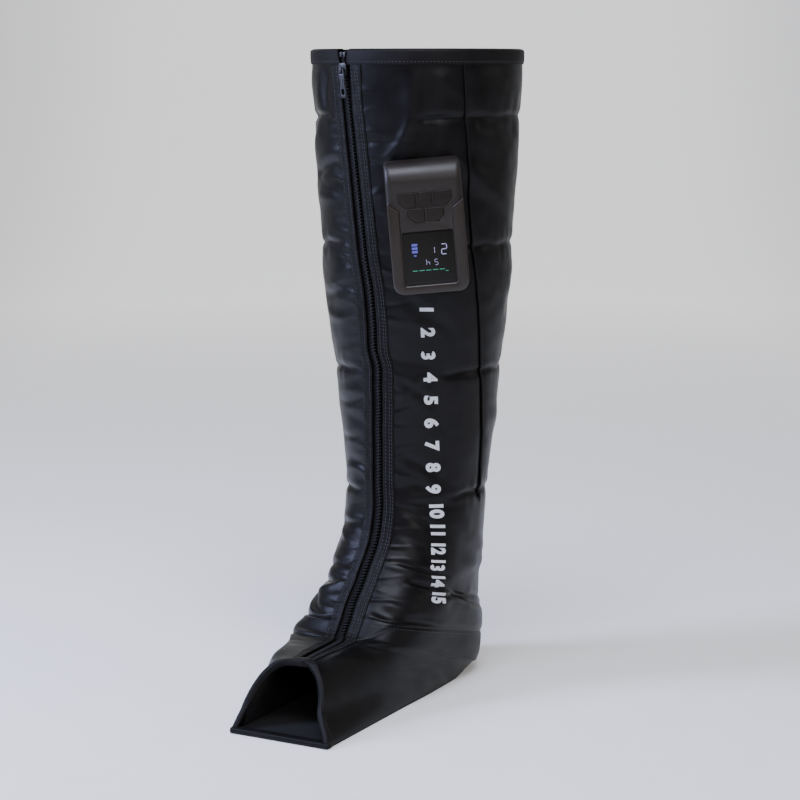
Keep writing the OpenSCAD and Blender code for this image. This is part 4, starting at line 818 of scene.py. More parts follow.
def toe_strip(side):
    """The toe opening's binding, measured from the toe edge along each line of the face. The outer
    side's strip runs on over the zipper's end."""
    u = side * spread(-side * SLOT_HALF / pace(T_TOE), 1.0, 0.014)
    if side < 0:
        u = u[::-1]
    edge, out = face(T_TOE, u)
    before = face(T_TOE - STEP, u)[0]
    along = (before - edge) / np.linalg.norm(before - edge, axis=-1, keepdims=True)
    low = FOOT_LINING_H - LINING_T - 0.3 - HEM_T
    grids = []
    for line in folded(HEM_T + 0.1, low, TOE_REACH_OUT, TOE_OVER, HEM_T):
        x = np.array([p[0] for p in line[::-1]])[:, None, None]
        h = np.array([p[1] for p in line[::-1]])[:, None, None]
        over_zip = 1.3 * (1 - ramp(np.abs(u), 0.05, 0.1))[None, :, None] * ramp(h, -3, 0)
        wavy = 0.5 * soft_noise(u * 9, 0 * u, 81)[None, :, None] * (np.abs(u) < 0.95)[None, :, None]
        places = edge + along * (x + wavy) + out * (h + over_zip)
        places[..., 2] = np.maximum(places[..., 2], 0.1)
        grids.append(places * MM)
    s = u * 118 + 0 * grids[0][..., 0]
    return wall("toe_binding", grids[0][::-1], grids[1][::-1], cloth_uv(grids[0][::-1], s, s * 0))


def bar_strip():
    """The sole's front edge, bound in one fold that lies on the floor."""
    x = spread(-SOLE_HALF - 0.5, SOLE_HALF + 0.5, 2)
    grids = []
    for line in folded(SOLE_T + 3.6, 0.05, TOE_REACH_OUT, TOE_OVER, 0.9):
        y = np.array([p[0] for p in line])[:, None] - TOE_REACH + 0 * x
        z = np.array([p[1] for p in line])[:, None] + 0 * x
        grids.append(np.stack([x + 0 * y, y, z], -1) * MM)
    s = x + 0 * grids[0][..., 0]
    return wall("toe_binding", grids[0][::-1], grids[1][::-1], cloth_uv(grids[0][::-1], s, s * 0))


toe = join("toe_binding", [toe_strip(1), toe_strip(-1), bar_strip()])
dress(toe, "sleeve", "binding", BINDING, "toe_hem")

# ---------------------------------------------------------------- zipper

def facing(side):
    """A strip of tape that lies on the cloth beside the zipper, with its edges turned under."""
    reach = FACING_OUTER if side > 0 else FACING_INNER
    ts = spread(0.125, T_TOE - 0.21, 0.02)[:, None]
    narrow = 1 - 0.5 * ramp(ts, T_SEAM, T_TOE)
    profile = [(0, 0.02), (0.02, 0.55), (0.07, 0.85), (0.5, 0.95), (0.93, 0.85), (0.98, 0.55), (1, 0.02)]
    f = np.interp(spread(0, 1, 0.04), np.linspace(0, 1, 7), [p[0] for p in profile])
    h = np.interp(f, [p[0] for p in profile], [p[1] for p in profile])
    s = side * (SLOT_HALF - 2.3 * (side > 0) * ramp(ts, 0.1, 0.5) + (reach + 2.3 * (side > 0)) * narrow * f)
    t = ts + 0 * s
    ripple = (0.28 * soft_noise(t * 100 / 3.1, s / 5, 61 + side)
              + 0.25 * soft_noise(t * 100 / 7.5, s / 9, 67))
    gather = 0.35 * bump(np.abs(s) - (12.5 if side > 0 else 14.5), 1.6) * (
        0.5 + 0.5 * np.sin(t * 100 * 2 * math.pi / 3.6 + 1.5 * soft_noise(t * 100 / 12, 0 * s, 71)))
    top = h + (ripple - gather) * ramp(h, 0.1, 0.8)
    outer, inner = skin(t, s, top + 0.05), skin(t, s, 0.03 + 0 * s)
    if side < 0:
        outer, inner, s = outer[:, ::-1], inner[:, ::-1], s[:, ::-1]
    return wall("facing", outer, inner, cloth_uv(outer, s, t))


for side, word in ((1, "lateral"), (-1, "medial")):
    piece = dress(facing(side), "sleeve", "binding", FACING, "zip_facing_" + word)
    piece.name = "grosgrain_facing_" + word
    ts = spread(0, T_TOE - 0.14, 0.03)
    low, high = (1, 15) if side > 0 else (-15, -1)  # s at the tape's edges
    tape = cloth("zipper_tape_" + word + "_weave", ts, lambda t: (low + 0 * t, high + 0 * t),
                 spread(0, 1, 0.07), below=lambda t: TAPE_H + 0 * t, thick=TAPE_T)
    dress(tape, "sleeve", "zipper_tape", TAPE, "zipper_tape_" + word)


def repeat_tree():
    """Sets one small piece over and over along a line, standing on its outward direction."""
    tree = bpy.data.node_groups.new("repeat along a seam", "GeometryNodeTree")
    inputs = {}
    for name, kind in [("Geometry", "Geometry"), ("Piece", "Object"), ("Pitch", "Float"),
                       ("Finish", "Material")]:
        inputs[name] = tree.interface.new_socket(name, in_out="INPUT",
                                                 socket_type="NodeSocket" + kind).identifier
    tree.interface.new_socket("Geometry", in_out="OUTPUT", socket_type="NodeSocketGeometry")
    given = node(tree, "NodeGroupInput").outputs
    line = node(tree, "GeometryNodeMeshToCurve", {0: given["Geometry"]}).outputs[0]
    points = node(tree, "GeometryNodeResampleCurve", {"Curve": line, "Length": given["Pitch"]},
                  mode="LENGTH")
    out = node(tree, "GeometryNodeInputNamedAttribute", {"Name": "outward"}, data_type="FLOAT_VECTOR")
    along = node(tree, "GeometryNodeInputTangent")
    turn = node(tree, "FunctionNodeAxesToRotation", {0: out.outputs[0], 1: along.outputs[0]},
                primary_axis="Z", secondary_axis="Y")
    shape = node(tree, "GeometryNodeObjectInfo", {0: given["Piece"]}, transform_space="ORIGINAL")
    many = node(tree, "GeometryNodeInstanceOnPoints", {"Points": points.outputs[0],
                                                      "Instance": shape.outputs["Geometry"],
                                                      "Rotation": turn.outputs[0]})
    real = node(tree, "GeometryNodeRealizeInstances", {0: many.outputs[0]})
    done = node(tree, "GeometryNodeSetMaterial", {"Geometry": real.outputs[0], "Material": given["Finish"]})
    node(tree, "NodeGroupOutput", {0: done.outputs[0]})
    return tree, inputs


REPEAT, REPEAT_INPUTS = repeat_tree()


def plain_mesh(source):
    """The mesh that an object's curve or modifier gives. The object itself goes."""
    bpy.context.view_layer.update()
    mesh = bpy.data.meshes.new_from_object(source.evaluated_get(bpy.context.evaluated_depsgraph_get()))
    bpy.data.objects.remove(source)
    return mesh


def repeat_along(name, lines, outs, unit_piece, pitch, made):
    """A plain mesh of one piece repeated along lines of points in metres."""
    mesh = bpy.data.meshes.new(name)
    points = np.concatenate(lines)
    starts = np.cumsum([0] + [len(line) for line in lines])
    edges = [(i, i + 1) for a, b in zip(starts, starts[1:]) for i in range(a, b - 1)]
    mesh.from_pydata(points.tolist(), edges, [])
    mesh.attributes.new("outward", "FLOAT_VECTOR", "POINT").data.foreach_set(
        "vector", np.concatenate(outs).astype(np.float32).ravel())
    obj = add_object(name + "_line", mesh)
    modifier = obj.modifiers.new("repeat", "NODES")
    modifier.node_group = REPEAT
    for key, value in (("Piece", unit_piece), ("Pitch", pitch * MM), ("Finish", made)):
        modifier[REPEAT_INPUTS[key]] = value
    return add_object(name, plain_mesh(obj))


def unit_mesh(name, build):
    """A small piece at the origin in metres, kept out of the scene."""
    mesh = bpy.data.meshes.new(name)
    bm = bmesh.new()
    build(bm)
    bmesh.ops.recalc_face_normals(bm, faces=bm.faces)
    bm.to_mesh(mesh)
    bm.free()
    mesh.polygons.foreach_set("use_smooth", [True] * len(mesh.polygons))
    return bpy.data.objects.new(name, mesh)


def loft(bm, rings):
    """Joins rings of vertices one to the next, and closes both ends."""
    count = len(rings[0])
    for a, b in zip(rings, rings[1:]):
        for i in range(count):
            bm.faces.new((a[i], a[(i + 1) % count], b[(i + 1) % count], b[i]))
    bm.faces.new(rings[0][::-1])
    bm.faces.new(rings[-1])


def stitch_shape(bm):
    """A thread's hump: it rises from one needle hole and goes down in the next."""
    length, radius, sides = 2.5, 0.3, 6
    rings = []
    for k in range(5):
        f = k / 4
        y, z = length * (f - 0.5), 0.26 * math.sin(math.pi * f) - 0.12
        r = radius * (0.55 + 0.45 * math.sin(math.pi * f))
        rings.append([bm.verts.new(Vector((r * math.cos(a), y, z + r * math.sin(a) * 0.8)) * MM)
                      for a in spread(0, 2 * math.pi, 2 * math.pi / sides)[:-1]])
    loft(bm, rings)


def tooth_shape(bm):
    """A moulded tooth: a shoulder that grips the tape, a neck and a rounded head. X runs to the tape."""
    outline = [(-0.2, 0.55), (0.35, 0.95), (0.95, 0.95), (1.4, 0.6), (2.4, 0.72), (3.2, 0.72),
               (3.2, -0.72), (2.4, -0.72), (1.4, -0.6), (0.95, -0.95), (0.35, -0.95), (-0.2, -0.55)]
    levels = [(-1.45, 0.9), (0.75, 1.0), (1.2, 0.72)]
    rings = [[bm.verts.new(Vector((1.5 + (x - 1.5) * (0.94 + 0.06 * k), y * k, z)) * MM)
              for x, y in outline] for z, k in levels]
    loft(bm, rings)


STITCH, TOOTH = unit_mesh("stitch", stitch_shape), unit_mesh("tooth", tooth_shape)


TOOTH_PITCH, STITCH_PITCH = 3.2, 3.6
HALF = TOOTH_PITCH / 200  # half a pitch in units of t: one row's teeth stand between the other's
for side, word in ((1, "lateral"), (-1, "medial")):
    ts = spread(0.068, T_TOE - 0.2, 0.02) + (HALF if side > 0 else 0)
    s = side * 0.6 + 0 * ts
    line, out = skin(ts, s, -0.5, False), outward(ts, s)
    teeth = repeat_along("moulded_teeth_" + word, [line[::side]], [out[::side]], TOOTH, TOOTH_PITCH, ACETAL)
    dress(teeth, "sleeve", "zipper_teeth", ACETAL, "zipper_teeth_" + word)

# Rows of stitches beside the zipper, then across under the rim's binding and below the foot's seam
rows_of_thread = []
for s in (12.2, 14.6, 8.2, -9.4, -15.6):
    ts = spread(0.16, T_TOE - 0.25, 0.02)
    narrow = 1 - 0.5 * ramp(ts, T_SEAM, T_TOE)
    place = np.sign(s) * (SLOT_HALF + (abs(s) - SLOT_HALF) * narrow)
    rows_of_thread.append((skin(ts, place, 0.92), outward(ts, place)))
for side in (1, -1):
    s = side * np.arange(SLOT_HALF + 1, pace(0.0) - 1, 2.0)
    t = np.full(s.shape, 0.095)
    rows_of_thread.append((skin(t, s, HEM_T + 0.15, False), outward(t, s)))
    s = side * np.arange(SLOT_HALF + 20, pace(T_SEAM) - 1, 2.0)
    t = np.full(s.shape, T_SEAM + 0.05)
    rows_of_thread.append((skin(t, s, 0.02), outward(t, s)))
stitches = repeat_along("seam_stitches", *zip(*rows_of_thread), STITCH, STITCH_PITCH, THREAD)
dress(stitches, "sleeve", "binding", THREAD)


def tube_mesh(name, points, outs, radius, sides=10):
    """A tube along points in metres, closed at both ends."""
    uv_turn = 0.07  # how far the cloth's coordinates go in one turn round the tube
    points = np.asarray(points)
    along = np.gradient(points, axis=0)
    along /= np.linalg.norm(along, axis=1, keepdims=True)
    side = np.cross(along, outs)
    side /= np.linalg.norm(side, axis=1, keepdims=True)
    up = np.cross(side, along)
    a = spread(0, 2 * math.pi, 2 * math.pi / sides)[:-1]
    radius = np.broadcast_to(radius, len(points))[:, None, None]
    ring = points[:, None] + radius * (np.cos(a)[None, :, None] * up[:, None]
                                       + np.sin(a)[None, :, None] * side[:, None])
    count = len(points)
    faces = [(i * sides + k, i * sides + (k + 1) % sides, (i + 1) * sides + (k + 1) % sides,
              (i + 1) * sides + k) for i in range(count - 1) for k in range(sides)]
    faces += [tuple(range(sides))[::-1], tuple((count - 1) * sides + k for k in range(sides))]
    far = np.concatenate([[0], np.cumsum(np.linalg.norm(np.diff(points, axis=0), axis=1))]) * 10
    uv = np.stack(np.broadcast_arrays(a[None] / (2 * math.pi) * uv_turn, far[:, None]), -1).reshape(-1, 2)
    mesh = mesh_from(name, ring.reshape(-1, 3), faces, uv)
    made = add_object(name, mesh)
    outward_faces(made)
    return made


def outward_faces(piece):
    """Turns all faces of a closed piece outwards."""
    bm = bmesh.new()
    bm.from_mesh(piece.data)
    bmesh.ops.recalc_face_normals(bm, faces=bm.faces)
    bm.to_mesh(piece.data)
    bm.free()


ts = spread(0.11, 4.46, 0.025)
ends = np.clip(np.minimum(np.arange(len(ts)), np.arange(len(ts))[::-1]) / 2, 0.25, 1)
PIPING_R = 1.15
piping = tube_mesh("seam_piping_cord", skin(ts, SEAM_S + 0 * ts, PIPING_R), outward(ts, SEAM_S),
                   PIPING_R * MM * ends)
dress(piping, "sleeve", "binding", BINDING, "seam_piping")

# ---------------------------------------------------------------- places on the zipper and the pump

def unit(v):
    return v / np.linalg.norm(v)


def spot(t, s):
    """The point of the plain face at t and s in millimetres, and its direction away from the leg."""
    return face(t, s / pace(t))


def placing(right, up, out, at):
    """The matrix from a local frame in millimetres to the part's frame in metres."""
    made = Matrix.Identity(4)
    for k in range(3):
        made[k][0], made[k][1], made[k][2] = right[k] * MM, up[k] * MM, out[k] * MM
        made[k][3] = at[k] * MM
    return made


zip_up = unit(spot(0, 0)[0] - spot(T_CALF, 0)[0])
zip_out = spot(T_CALF / 2, 0)[1]
zip_out = unit(zip_out - zip_up * (zip_out @ zip_up))
ON_ZIP = placing(np.cross(zip_up, zip_out), zip_up, zip_out, spot(0.17, 0)[0])
DOCK_T = 3
STAND_OFF = 1.5 + DOCK_T + 0.3  # from the sleeve's face to the pump's back
pump_skin, pump_normal = spot(T_PUMP, PUMP_S)
pump_up = unit(face(T_PUMP - STEP, PUMP_S / pace(T_PUMP))[0]
               - face(T_PUMP + STEP, PUMP_S / pace(T_PUMP))[0])
pump_out = unit(pump_normal - pump_up * (pump_normal @ pump_up))
pump_at = pump_skin + pump_out * STAND_OFF
ON_PUMP = placing(np.cross(pump_up, pump_out), pump_up, pump_out, pump_at)


def closed_line(curve, outline):
    """Adds a closed outline to a flat curve."""
    spline = curve.splines.new("POLY")
    spline.points.add(len(outline) - 1)
    for point, (x, y) in zip(spline.points, outline):
        point.co = (x, y, 0, 1)
    spline.use_cyclic_u = True


def plate(name, outlines, low, high, soft, place):
    """A flat plate with rounded edges. outlines are its edge and its holes, in millimetres; it
    reaches from low to high, and its edges are rounded by soft."""
    curve = bpy.data.curves.new(name, "CURVE")
    curve.dimensions = "2D"
    curve.fill_mode = "BOTH"
    curve.extrude = (high - low) / 2 - soft
    curve.bevel_depth = soft
    curve.bevel_resolution = 3
    curve.offset = -soft
    for outline in outlines:
        closed_line(curve, outline)
    mesh = plain_mesh(add_object(name, curve))
    bm = bmesh.new()
    bm.from_mesh(mesh)
    bmesh.ops.remove_doubles(bm, verts=bm.verts, dist=1e-4)
    bmesh.ops.recalc_face_normals(bm, faces=bm.faces)
    for v in bm.verts:
        v.co.z += (low + high) / 2
    bm.transform(place)
    bm.to_mesh(mesh)
    bm.free()
    mesh.name = name
    mesh.materials.clear()
    mesh.polygons.foreach_set("use_smooth", [True] * len(mesh.polygons))
    made = add_object(name, mesh)
    shade_by_angle(made)
    return made


# Angles between two faces: flatter ones are merged, sharper ones rounded, and the sharpest that are
# left are shaded as edges
MERGED, SHARP, SHADED = math.radians(2), math.radians(32), math.radians(40)


def shade_by_angle(piece):
    """Marks the sharp edges, so that the rest shades smoothly."""
    bm = bmesh.new()
    bm.from_mesh(piece.data)
    for edge in bm.edges:
        edge.smooth = len(edge.link_faces) == 2 and edge.calc_face_angle(0) < SHADED
    for polygon in bm.faces:
        polygon.smooth = True
    bm.to_mesh(piece.data)
    bm.free()


def rounded(points, radius, steps=7):
    """An outline with its corners rounded; radius is one number or one for each corner."""
    done = []
    count = len(points)
    radii = np.broadcast_to(radius, count)
    for i, p in enumerate(points):
        p = np.array(p, float)
        a, b = unit(np.array(points[i - 1]) - p), unit(np.array(points[(i + 1) % count]) - p)
        half = math.acos(np.clip(a @ b, -1, 1)) / 2
        centre = p + unit(a + b) * radii[i] / math.sin(half)
        start, end = p + a * radii[i] / math.tan(half) - centre, p + b * radii[i] / math.tan(half) - centre
        turn = math.pi - 2 * half
        for k in range(steps + 1):
            f = k / steps
            done.append(centre + (start * math.sin(turn * (1 - f)) + end * math.sin(turn * f))
                        / math.sin(turn))
    return done


def grown(points, d):
    """An outline moved outwards by d, with its corners kept."""
    points = [np.array(p, float) for p in points]
    done = []
    for i, p in enumerate(points):
        a, b = unit(p - points[i - 1]), unit(points[(i + 1) % len(points)] - p)
        na, nb = np.array([a[1], -a[0]]), np.array([b[1], -b[0]])
        done.append(p + (na + nb) * d / (1 + na @ nb))
    return done


def softened(node_name, name, width, wide=0, where=None):
    """A merged copy of a CAD node with its sharp edges rounded by width, in millimetres, and those
    where a test of their middle in the pump's own frame holds by wide."""
    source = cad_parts[node_name]
    mesh = source.data.copy()
    mesh.name = name
    mesh.materials.clear()
    bm = bmesh.new()
    bm.from_mesh(mesh)
    bm.transform(source.matrix_world)
    bmesh.ops.remove_doubles(bm, verts=bm.verts, dist=2e-6)
    bmesh.ops.dissolve_limit(bm, angle_limit=MERGED, verts=bm.verts, edges=bm.edges)
    back = ON_PUMP.inverted()
    for size in (wide, width) if wide else (width,):
        sharp = [e for e in bm.edges if len(e.link_faces) == 2 and e.calc_face_angle(0) > SHARP
                 and (size != wide or where(*(back @ ((e.verts[0].co + e.verts[1].co) / 2))))]
        bmesh.ops.bevel(bm, geom=sharp, offset=size * MM, offset_type="OFFSET",
                        segments=4 if size == wide else 3, profile=0.5, affect="EDGES", clamp_overlap=True)
    bmesh.ops.triangulate(bm, faces=[f for f in bm.faces if len(f.verts) > 4])
    bm.to_mesh(mesh)
    bm.free()
    for layer in list(mesh.uv_layers):
        mesh.uv_layers.remove(layer)
    made = add_object(name, mesh)
    shade_by_angle(made)
    return made


# ---------------------------------------------------------------- zipper slider, pull and stops

def mirrored(points):
    """The whole outline from its right half, given from top to bottom."""
    return points + [(-x, y) for x, y in points[::-1]]


SLIDER_LOW = TAPE_H - TAPE_T - 1.1
top_outline = rounded(mirrored([(3.1, 6.5), (4.8, 4.6), (4.8, -1.5), (4.0, -6.5)]),
                      [1.2, 1.4, 2, 1.4] * 2, 5)
parts = [
    plate("slider", [top_outline], 2.0, 3.5, 0.45, ON_ZIP),
    plate("slider", [top_outline], SLIDER_LOW - 1.5, SLIDER_LOW, 0.45, ON_ZIP),
    plate("slider", [rounded([(-0.3, 5.8), (-0.3, -1.8), (0.3, -1.8), (0.3, 5.8)], 0.2, 3)],
          SLIDER_LOW - 0.3, 2.3, 0.1, ON_ZIP),
]
bridge_place = ON_ZIP @ Matrix.Rotation(math.pi / 2, 4, "Y") @ Matrix.Rotation(math.pi / 2, 4, "Z")
arch = rounded([(-2.3, 3.2), (2.3, 3.2), (2.3, 5.6), (1.4, 6.95), (-1.4, 6.95), (-2.3, 5.6)],
               [0.3, 0.3, 0.9, 0.8, 0.8, 0.9], 4)
hole = [(1.06 * math.cos(a), 5.2 + 1.06 * math.sin(a)) for a in spread(0, 2 * math.pi, math.pi / 10)[:-1]]
parts.append(plate("slider", [arch, hole], -1.1, 1.1, 0.25, bridge_place))
slider = join("die_cast_slider", parts)
dress(slider, "zip_slider", "zipper_metal", ZINC, "zip_slider")

PULL_END = 1.2 - 25
pull_outline = rounded([(3.1, 1.2), (-3.1, 1.2), (-3.5, -6), (-2.7, -13), (-3.5, -20),
                        (-3.2, PULL_END - 3.2), (3.2, PULL_END - 3.2), (3.5, -20), (2.7, -13), (3.5, -6)],
                       [1, 1, 5, 9, 5, 2.6, 2.6, 5, 9, 5], 6)
window = rounded([(1.5, -0.1), (1.5, -3.9), (-1.5, -3.9), (-1.5, -0.1)], 0.5, 4)
ring = rounded([(1.7, -18.2), (1.7, -24), (-1.7, -24), (-1.7, -18.2)], 1.4, 6)
waist = rounded([(1.1, -8), (1.1, -16.5), (-1.1, -16.5), (-1.1, -8)], 0.8, 5)
parts = [plate("pull", [pull_outline, window, ring], 4.6, 5.8, 0.35, ON_ZIP),
         plate("pull", [waist], 5.5, 6.1, 0.25, ON_ZIP)]
pin = [Vector((x, 0, 5.2)) for x in spread(-2.4, 2.4, 0.6)]
parts.append(tube_mesh("pull", [ON_ZIP @ p for p in pin], [np.array(zip_out)] * len(pin), 0.95 * MM, 14))
pull = join("die_cast_pull", parts)
dress(pull, "zip_pull", "zipper_metal", ZINC, "zip_pull")

stops = softened("zipper_stops", "crimped_stops", 0.3)
dress(stops, "sleeve", "zipper_metal", ZINC, "zipper_stops")

# ---------------------------------------------------------------- air chambers behind the cloth

# The film curls in over its last millimetres, by this much from both faces
CURL_OVER, CURL, CHAMBER_W = 12, 1.9, 330
for k, word in enumerate(CHAMBERS):
    t0, t1 = [leg_row(FIRST_WELD + k * CHAMBER_ROWS + i) for i in (1, CHAMBER_ROWS - 1)]
    t = spread(t0, t1, 0.04)[:, None]
    p = pace(t)
    near = (SLOT_HALF + FACING_INNER) / p
    u0, u1 = (BLADDER_S - 0.3) / p, 2 - (near + (1 - near) * 0.2)
    f = spread(0, 1, 0.012)
    u = u0 + (u1 - u0) * f
    u = np.where(u > 1, u - 2, u)
    t = t + 0 * u
    edge = np.minimum(np.minimum(f, 1 - f) * CHAMBER_W / CURL_OVER,
                      np.minimum(t - t0, t1 - t) * 100 / CURL_OVER)
    full = np.sqrt(1 - (1 - np.clip(edge, 0, 1)) ** 2)
    s = u * pace(t)
    top = np.minimum(BLADDER_H - CURL * (1 - full), relief(t, s, u) - CLOTH_T - 0.3)
    low = np.minimum(BLADDER_H - BLADDER_T + CURL * (1 - full), top - 0.5)
    outer, inner = skin(t, s, top, False), skin(t, s, low, False)
    chamber = wall("air_chamber_" + word, outer, inner, cloth_uv(outer, s, t))
    dress(chamber, "sleeve", "bladder_film", FILM, "bladder_" + word)

# ---------------------------------------------------------------- dock saddle

t = spread(leg_row(9), leg_row(17), leg_row(1) / 4)[:, None]
SADDLE_HALF = 32
s = spread(PUMP_S - SADDLE_HALF, PUMP_S + SADDLE_HALF, 2)
t, s = t + 0 * s, s + 0 * t
back = skin(t, s, 0.05, False)
up_m, out_m, at_m = np.array(pump_up), np.array(pump_out), pump_at * MM
front = back + out_m * ((-DOCK_T - 0.2) * MM - (back - at_m) @ out_m)[..., None]
rim_of = np.minimum(np.minimum(s - s.min(), s.max() - s), 100 * np.minimum(t - t.min(), t.max() - t))
round_off = 1 - np.sqrt(1 - (1 - np.clip(rim_of / 2.5, 0, 1)) ** 2)
front = front - out_m * (1.1 * MM * round_off)[..., None]
front = np.where((((front - back) @ out_m) < 0.15 * MM)[..., None], back + 0.15 * MM * out_m, front)
mid_t, mid_s = (t[1:, 1:] + t[:-1, :-1]) / 2, (s[1:, 1:] + s[:-1, :-1]) / 2
open_cells = (mid_t > WINDOW_T[0]) & (mid_t < WINDOW_T[1]) & (np.abs(mid_s - PUMP_S) < WINDOW_HALF)
saddle = wall("foam_saddle", front, back, cloth_uv(front, s, t), ~open_cells)
dress(saddle, "sleeve", "dock_foam", FOAM, "dock_saddle")

# ---------------------------------------------------------------- pump case, keys and works

HOOD_END, ROLL = 30.0, 6.0  # where the hood starts to roll down to the case's sides, and how far


def rolled_ends(shell):
    """Rolls the two ends of the hood down to the sides of the case."""
    bm = bmesh.new()
    bm.from_mesh(shell.data)
    bm.transform(ON_PUMP.inverted())
    cuts = [((side * x, 0, 0), (1, 0, 0)) for side in (-1, 1) for x in (30, 31.4, 32.8, 34, 35, 35.7)]
    cuts += [((0, y, 0), (0, 1, 0)) for y in (20, 22, 24, 26, 28)]
    for at, normal in cuts:
        bmesh.ops.bisect_plane(bm, geom=bm.verts[:] + bm.edges[:] + bm.faces[:], plane_co=at,
                               plane_no=normal)
    for v in bm.verts:
        d = min(max(abs(v.co.x) - HOOD_END, 0), ROLL)
        drop = ROLL - math.sqrt(max(ROLL ** 2 - d * d, 0))
        v.co.z -= 0.75 * drop * float(ramp(v.co.y, 19, 28) * ramp(v.co.z, 12, 22))
    bmesh.ops.triangulate(bm, faces=[f for f in bm.faces if len(f.verts) > 4])
    bm.transform(ON_PUMP)
    bm.to_mesh(shell.data)
    bm.free()
    shade_by_angle(shell)


# Node, new name, body, slot, material, rounding, and a wider rounding where a test holds
RIGID = [
    ("sole_panel", "oxford_sole", "sleeve", "sole_cloth", OXFORD, 0.5, 0, None),
    ("insole", "tricot_insole", "sleeve", "lining", TRICOT, 0.4, 0, None),
    ("dock_plate", "moulded_dock_plate", "sleeve", "dock_plastic", DOCK, 0.5, 0, None),
    ("hose_manifold", "moulded_manifold", "sleeve", "dock_plastic", DOCK, 0.6, 0, None),
    ("rear_housing", "moulded_rear_housing", "pump", "case_plastic", CASE, 0.4, 1.6, lambda x, y, z: z < 0.5
     and max(abs(x) - 35.8, abs(y) - 62.3, (abs(x) - 36) * 0.7 + (-y - 62.5) * 0.7 + 6) > 0),
    ("front_shell", "moulded_front_shell", "pump", "case_plastic", CASE, 0.25, 2.2, lambda x, y, z: z > 9
     and abs(x) > 31.5 and y > 23),
    ("u_frame", "moulded_u_frame", "pump", "frame_plastic", FRAME_ABS, 0.25, 1.5, lambda x, y, z: z > 29.5),
    ("display_lens", "smoked_lens", "pump", "lens", LENS, 0.25, 0, None),
]
for source, name, body, slot, made, width, wide, where in RIGID:
    piece = softened(source, name, width, wide, where)
    if source == "front_shell":
        rolled_ends(piece)
    dress(piece, body, slot, made, source)

for source, slot, made in [("hose_" + word, "air_hose", HOSE) for word in CHAMBERS] + [
    ("display_module", "display", WORKS), ("keypad_membrane", "keypad_silicone", SILICONE),
    ("main_board", "circuit_board", BOARD),
    ("battery_cells", "cell_sleeve", CELLS), ("battery_cradle", "works_plastic", WORKS),
    ("pump_motor", "works_steel", STEEL), ("pump_head", "works_plastic", WORKS),
    ("pump_rotor", "works_steel", STEEL), ("valve_block", "works_plastic", WORKS),
    ("solenoid_valves", "valve_metal", VALVE), ("pump_tube", "air_hose", HOSE),
    ("nozzle_seals", "seal_rubber", NITRILE), ("charge_socket", "socket_steel", SOCKET),
    ("case_screws", "works_steel", STEEL),
]:
    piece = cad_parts[source]
    piece.data.materials.clear()
    piece.data.materials.append(made)

KEY_UR = [(8.6, 20), (19, 20), (25, 26), (25, 34), (8.6, 34)]
KEY_LR = [(1.3, 6), (11.5, 6), (17, 11.5), (17, 18.4), (1.3, 18.4)]
KEYS = {
    "button_upper_left": [(-x, y) for x, y in KEY_UR[::-1]],
    "button_upper_middle": [(-6.6, 20), (6.6, 20), (6.6, 34), (-6.6, 34)],
    "button_upper_right": KEY_UR,
    "button_lower_left": [(-x, y) for x, y in KEY_LR[::-1]],
    "button_lower_right": KEY_LR,
}
for name, corners in KEYS.items():
    cap = plate("cap", [rounded(corners, 1.05)], 25.5, 28.6, 0.4, ON_PUMP)
    flange = plate("flange", [rounded(grown(corners, 0.6), 1.4)], 25.0, 25.8, 0.15, ON_PUMP)
    key = join(name + "_cap", [cap, flange])
    dress(key, name, "key_plastic", KEY_ABS, name)

# ---------------------------------------------------------------- display, seen upside down

# The segments of the digits that show, and each segment's place and whether it lies flat
SEGMENTS = {"1": "bc", "2": "abged", "4": "fgbc", "5": "afgcd"}
BARS = {"a": (0, 1, 1), "g": (0, 0, 1), "d": (0, -1, 1), "b": (1, 0.5, 0), "c": (1, -0.5, 0),
        "f": (-1, 0.5, 0), "e": (-1, -0.5, 0)}


def segment(x, y, length, thick, flat):
    """The outline of one display segment, pointed at both ends."""
    a, b = length / 2, thick / 2
    points = [(-a, 0), (-a + b, -b), (a - b, -b), (a, 0), (a - b, b), (-a + b, b)]
    return [(x + p, y + q) if flat else (x - q, y + p) for p, q in points]


def digit(value, x, y, high):
    """The outlines of a digit whose middle is at x, y, turned upside down."""
    wide, half = high * 0.26, high / 2
    return [segment(x - BARS[k][0] * wide, y - BARS[k][1] * half,
                    2 * wide * 0.9 if BARS[k][2] else half * 0.9, high * 0.085, BARS[k][2])
            for k in SEGMENTS[value]]


def box_of(x, y, w, h):
    """The outline of a box whose middle is at x, y."""
    return [(x - w / 2, y - h / 2), (x + w / 2, y - h / 2), (x + w / 2, y + h / 2), (x - w / 2, y + h / 2)]


LENS_FACE = 27.95  # the lens's outer face in the pump's own frame
lit = {
    "lit_digits": (WHITE_LIGHT, digit("2", 14.4, -21.4, 9.6) + digit("1", 6.9, -21.7, 6)
                   + digit("4", -1.7, -32.6, 5.4) + digit("5", 6.2, -33.2, 5.4)),
    "lit_battery": (BLUE_LIGHT, [box_of(-13.3, -18.9 + 3.3 * k, 5.4, 2.3) for k in (-1, 0, 1)]
                    + [box_of(-13.3, -18.9 - 7, 2.6, 1.2)]),
    "lit_dashes": (GREEN_LIGHT, [box_of(-14.4 + 6.4 * k, -40.3, 4.9, 0.75) for k in range(5)]
                   + [box_of(15.6, -42.2, 2.6, 0.75)]),
}
for name, (made, outlines) in lit.items():
    marks = join(name, [plate(name, [o], LENS_FACE, LENS_FACE + 0.12, 0.03, ON_PUMP) for o in outlines])
    dress(marks, "pump", "display", made)

# ---------------------------------------------------------------- printed scale on the outer cloth

SCALE = [(2.36, 58), (3.2, 55), (3.91, 54), (4.8, 60), (5.80, 75)]  # t and s of its middle line


